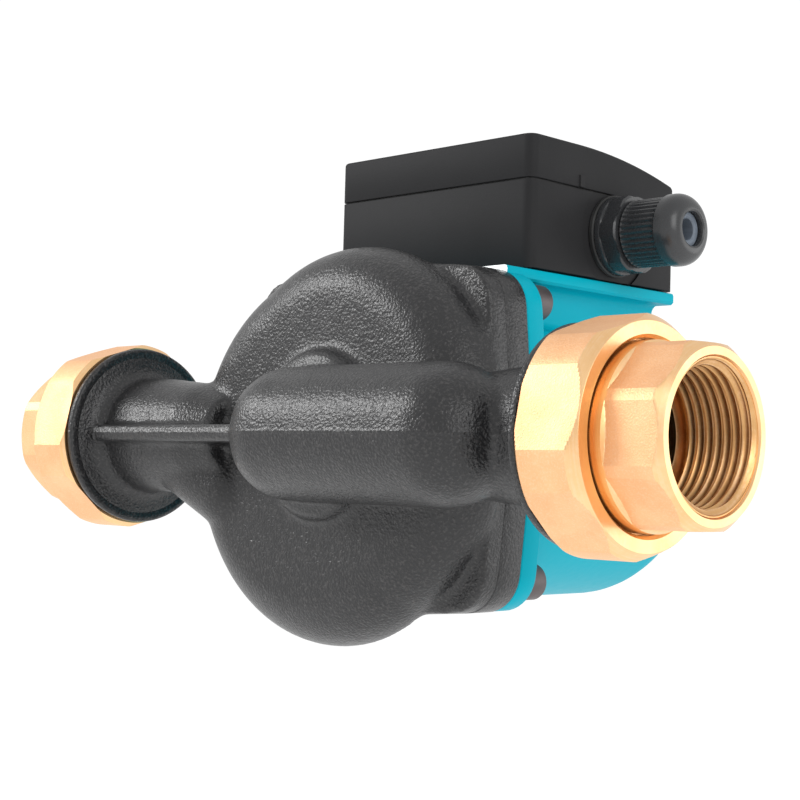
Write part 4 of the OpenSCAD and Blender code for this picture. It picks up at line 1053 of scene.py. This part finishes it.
def makeVentSeal():
    p = rear
    bm = bmesh.new()
    angles = [math.radians(a) for a in range(0, 360, 30)]
    profile = [(p["face"] + 0.9 + 0.88 * math.sin(a), 9.6 + 1.35 * math.cos(a)) for a in angles]
    lathe(bm, yAxis, Vector(), scaled(profile), 72)
    addPiece("ventSeal", bm, "pump", [blackRubber], ["vent_plug_seal"])


def makeRingLabel():
    inner, outer = rear["label"]
    y = rear["face"]
    bm = bmesh.new()
    profile = [(y + 0.02, inner), (y + 0.35, inner), (y + 0.5, inner + 0.2), (y + 0.5, inner + 1.0),
               (y + 0.4, inner + 1.1), (y + 0.4, outer - 1.1), (y + 0.5, outer - 1.0),
               (y + 0.5, outer - 0.2), (y + 0.35, outer), (y + 0.02, outer)]
    lathe(bm, yAxis, Vector(), scaled(profile), 144)
    addPiece("ringLabel", bm, "pump", [labelSheet], ["rating_plate"], soft=25)


def makeSpeedKnob():
    p = rear
    centre = Vector((p["knobX"], 0, p["knobZ"])) * mm
    foot, top = p["knobFoot"], p["knobFoot"] + p["knobHeight"]
    bm = bmesh.new()
    profile = [(91.0, 0.001), (91.0, 3.7), (91.3, 3.94), (foot, 3.94), (foot, 10.6), (foot + 0.4, 11.0),
               (foot + 3.0, 11.0), (foot + 3.7, 10.7), (foot + 4.0, 10.0), (foot + 4.0, 0.001)]
    lathe(bm, yAxis, centre, scaled(profile), 96)
    for v in bm.verts:  # fine ribs round the skirt
        out = Vector((v.co.x - centre.x, v.co.z - centre.z))
        if out.length > 10.7 * mm:
            wave = 0.5 + 0.5 * math.cos(math.atan2(out.y, out.x) * 32)
            v.co.x, v.co.z = centre.x + out.x * (1 - 0.025 * wave), centre.z + out.y * (1 - 0.025 * wave)
    grip = bmesh.new()
    middle = centre + Vector((0, (foot + top) / 2 * mm, 0))
    bmesh.ops.create_cube(grip, size=1, matrix=Matrix.Translation(middle)
                          @ Matrix.Diagonal((6.6 * mm, (top - foot) * mm, 20.2 * mm, 1)))
    soften(grip, 1.1 * mm, 40, 4)
    line = bmesh.new()
    marked = centre + Vector((0, top * mm, 6.2 * mm))
    bmesh.ops.create_cube(line, size=1, matrix=Matrix.Translation(marked)
                          @ Matrix.Diagonal((1.2 * mm, 1.0 * mm, 5.3 * mm, 1)))
    grip = carve(grip, line)
    work = bpy.data.meshes.new("work")
    grip.to_mesh(work)
    grip.free()
    bm.from_mesh(work)
    bpy.data.meshes.remove(work)
    addPiece("speedKnob", bm, "knob", [whitePlastic], ["speed_knob"], soft=30)


makeVentPlug()
makeVentSeal()
makeRingLabel()
makeSpeedKnob()
print("rear details made")
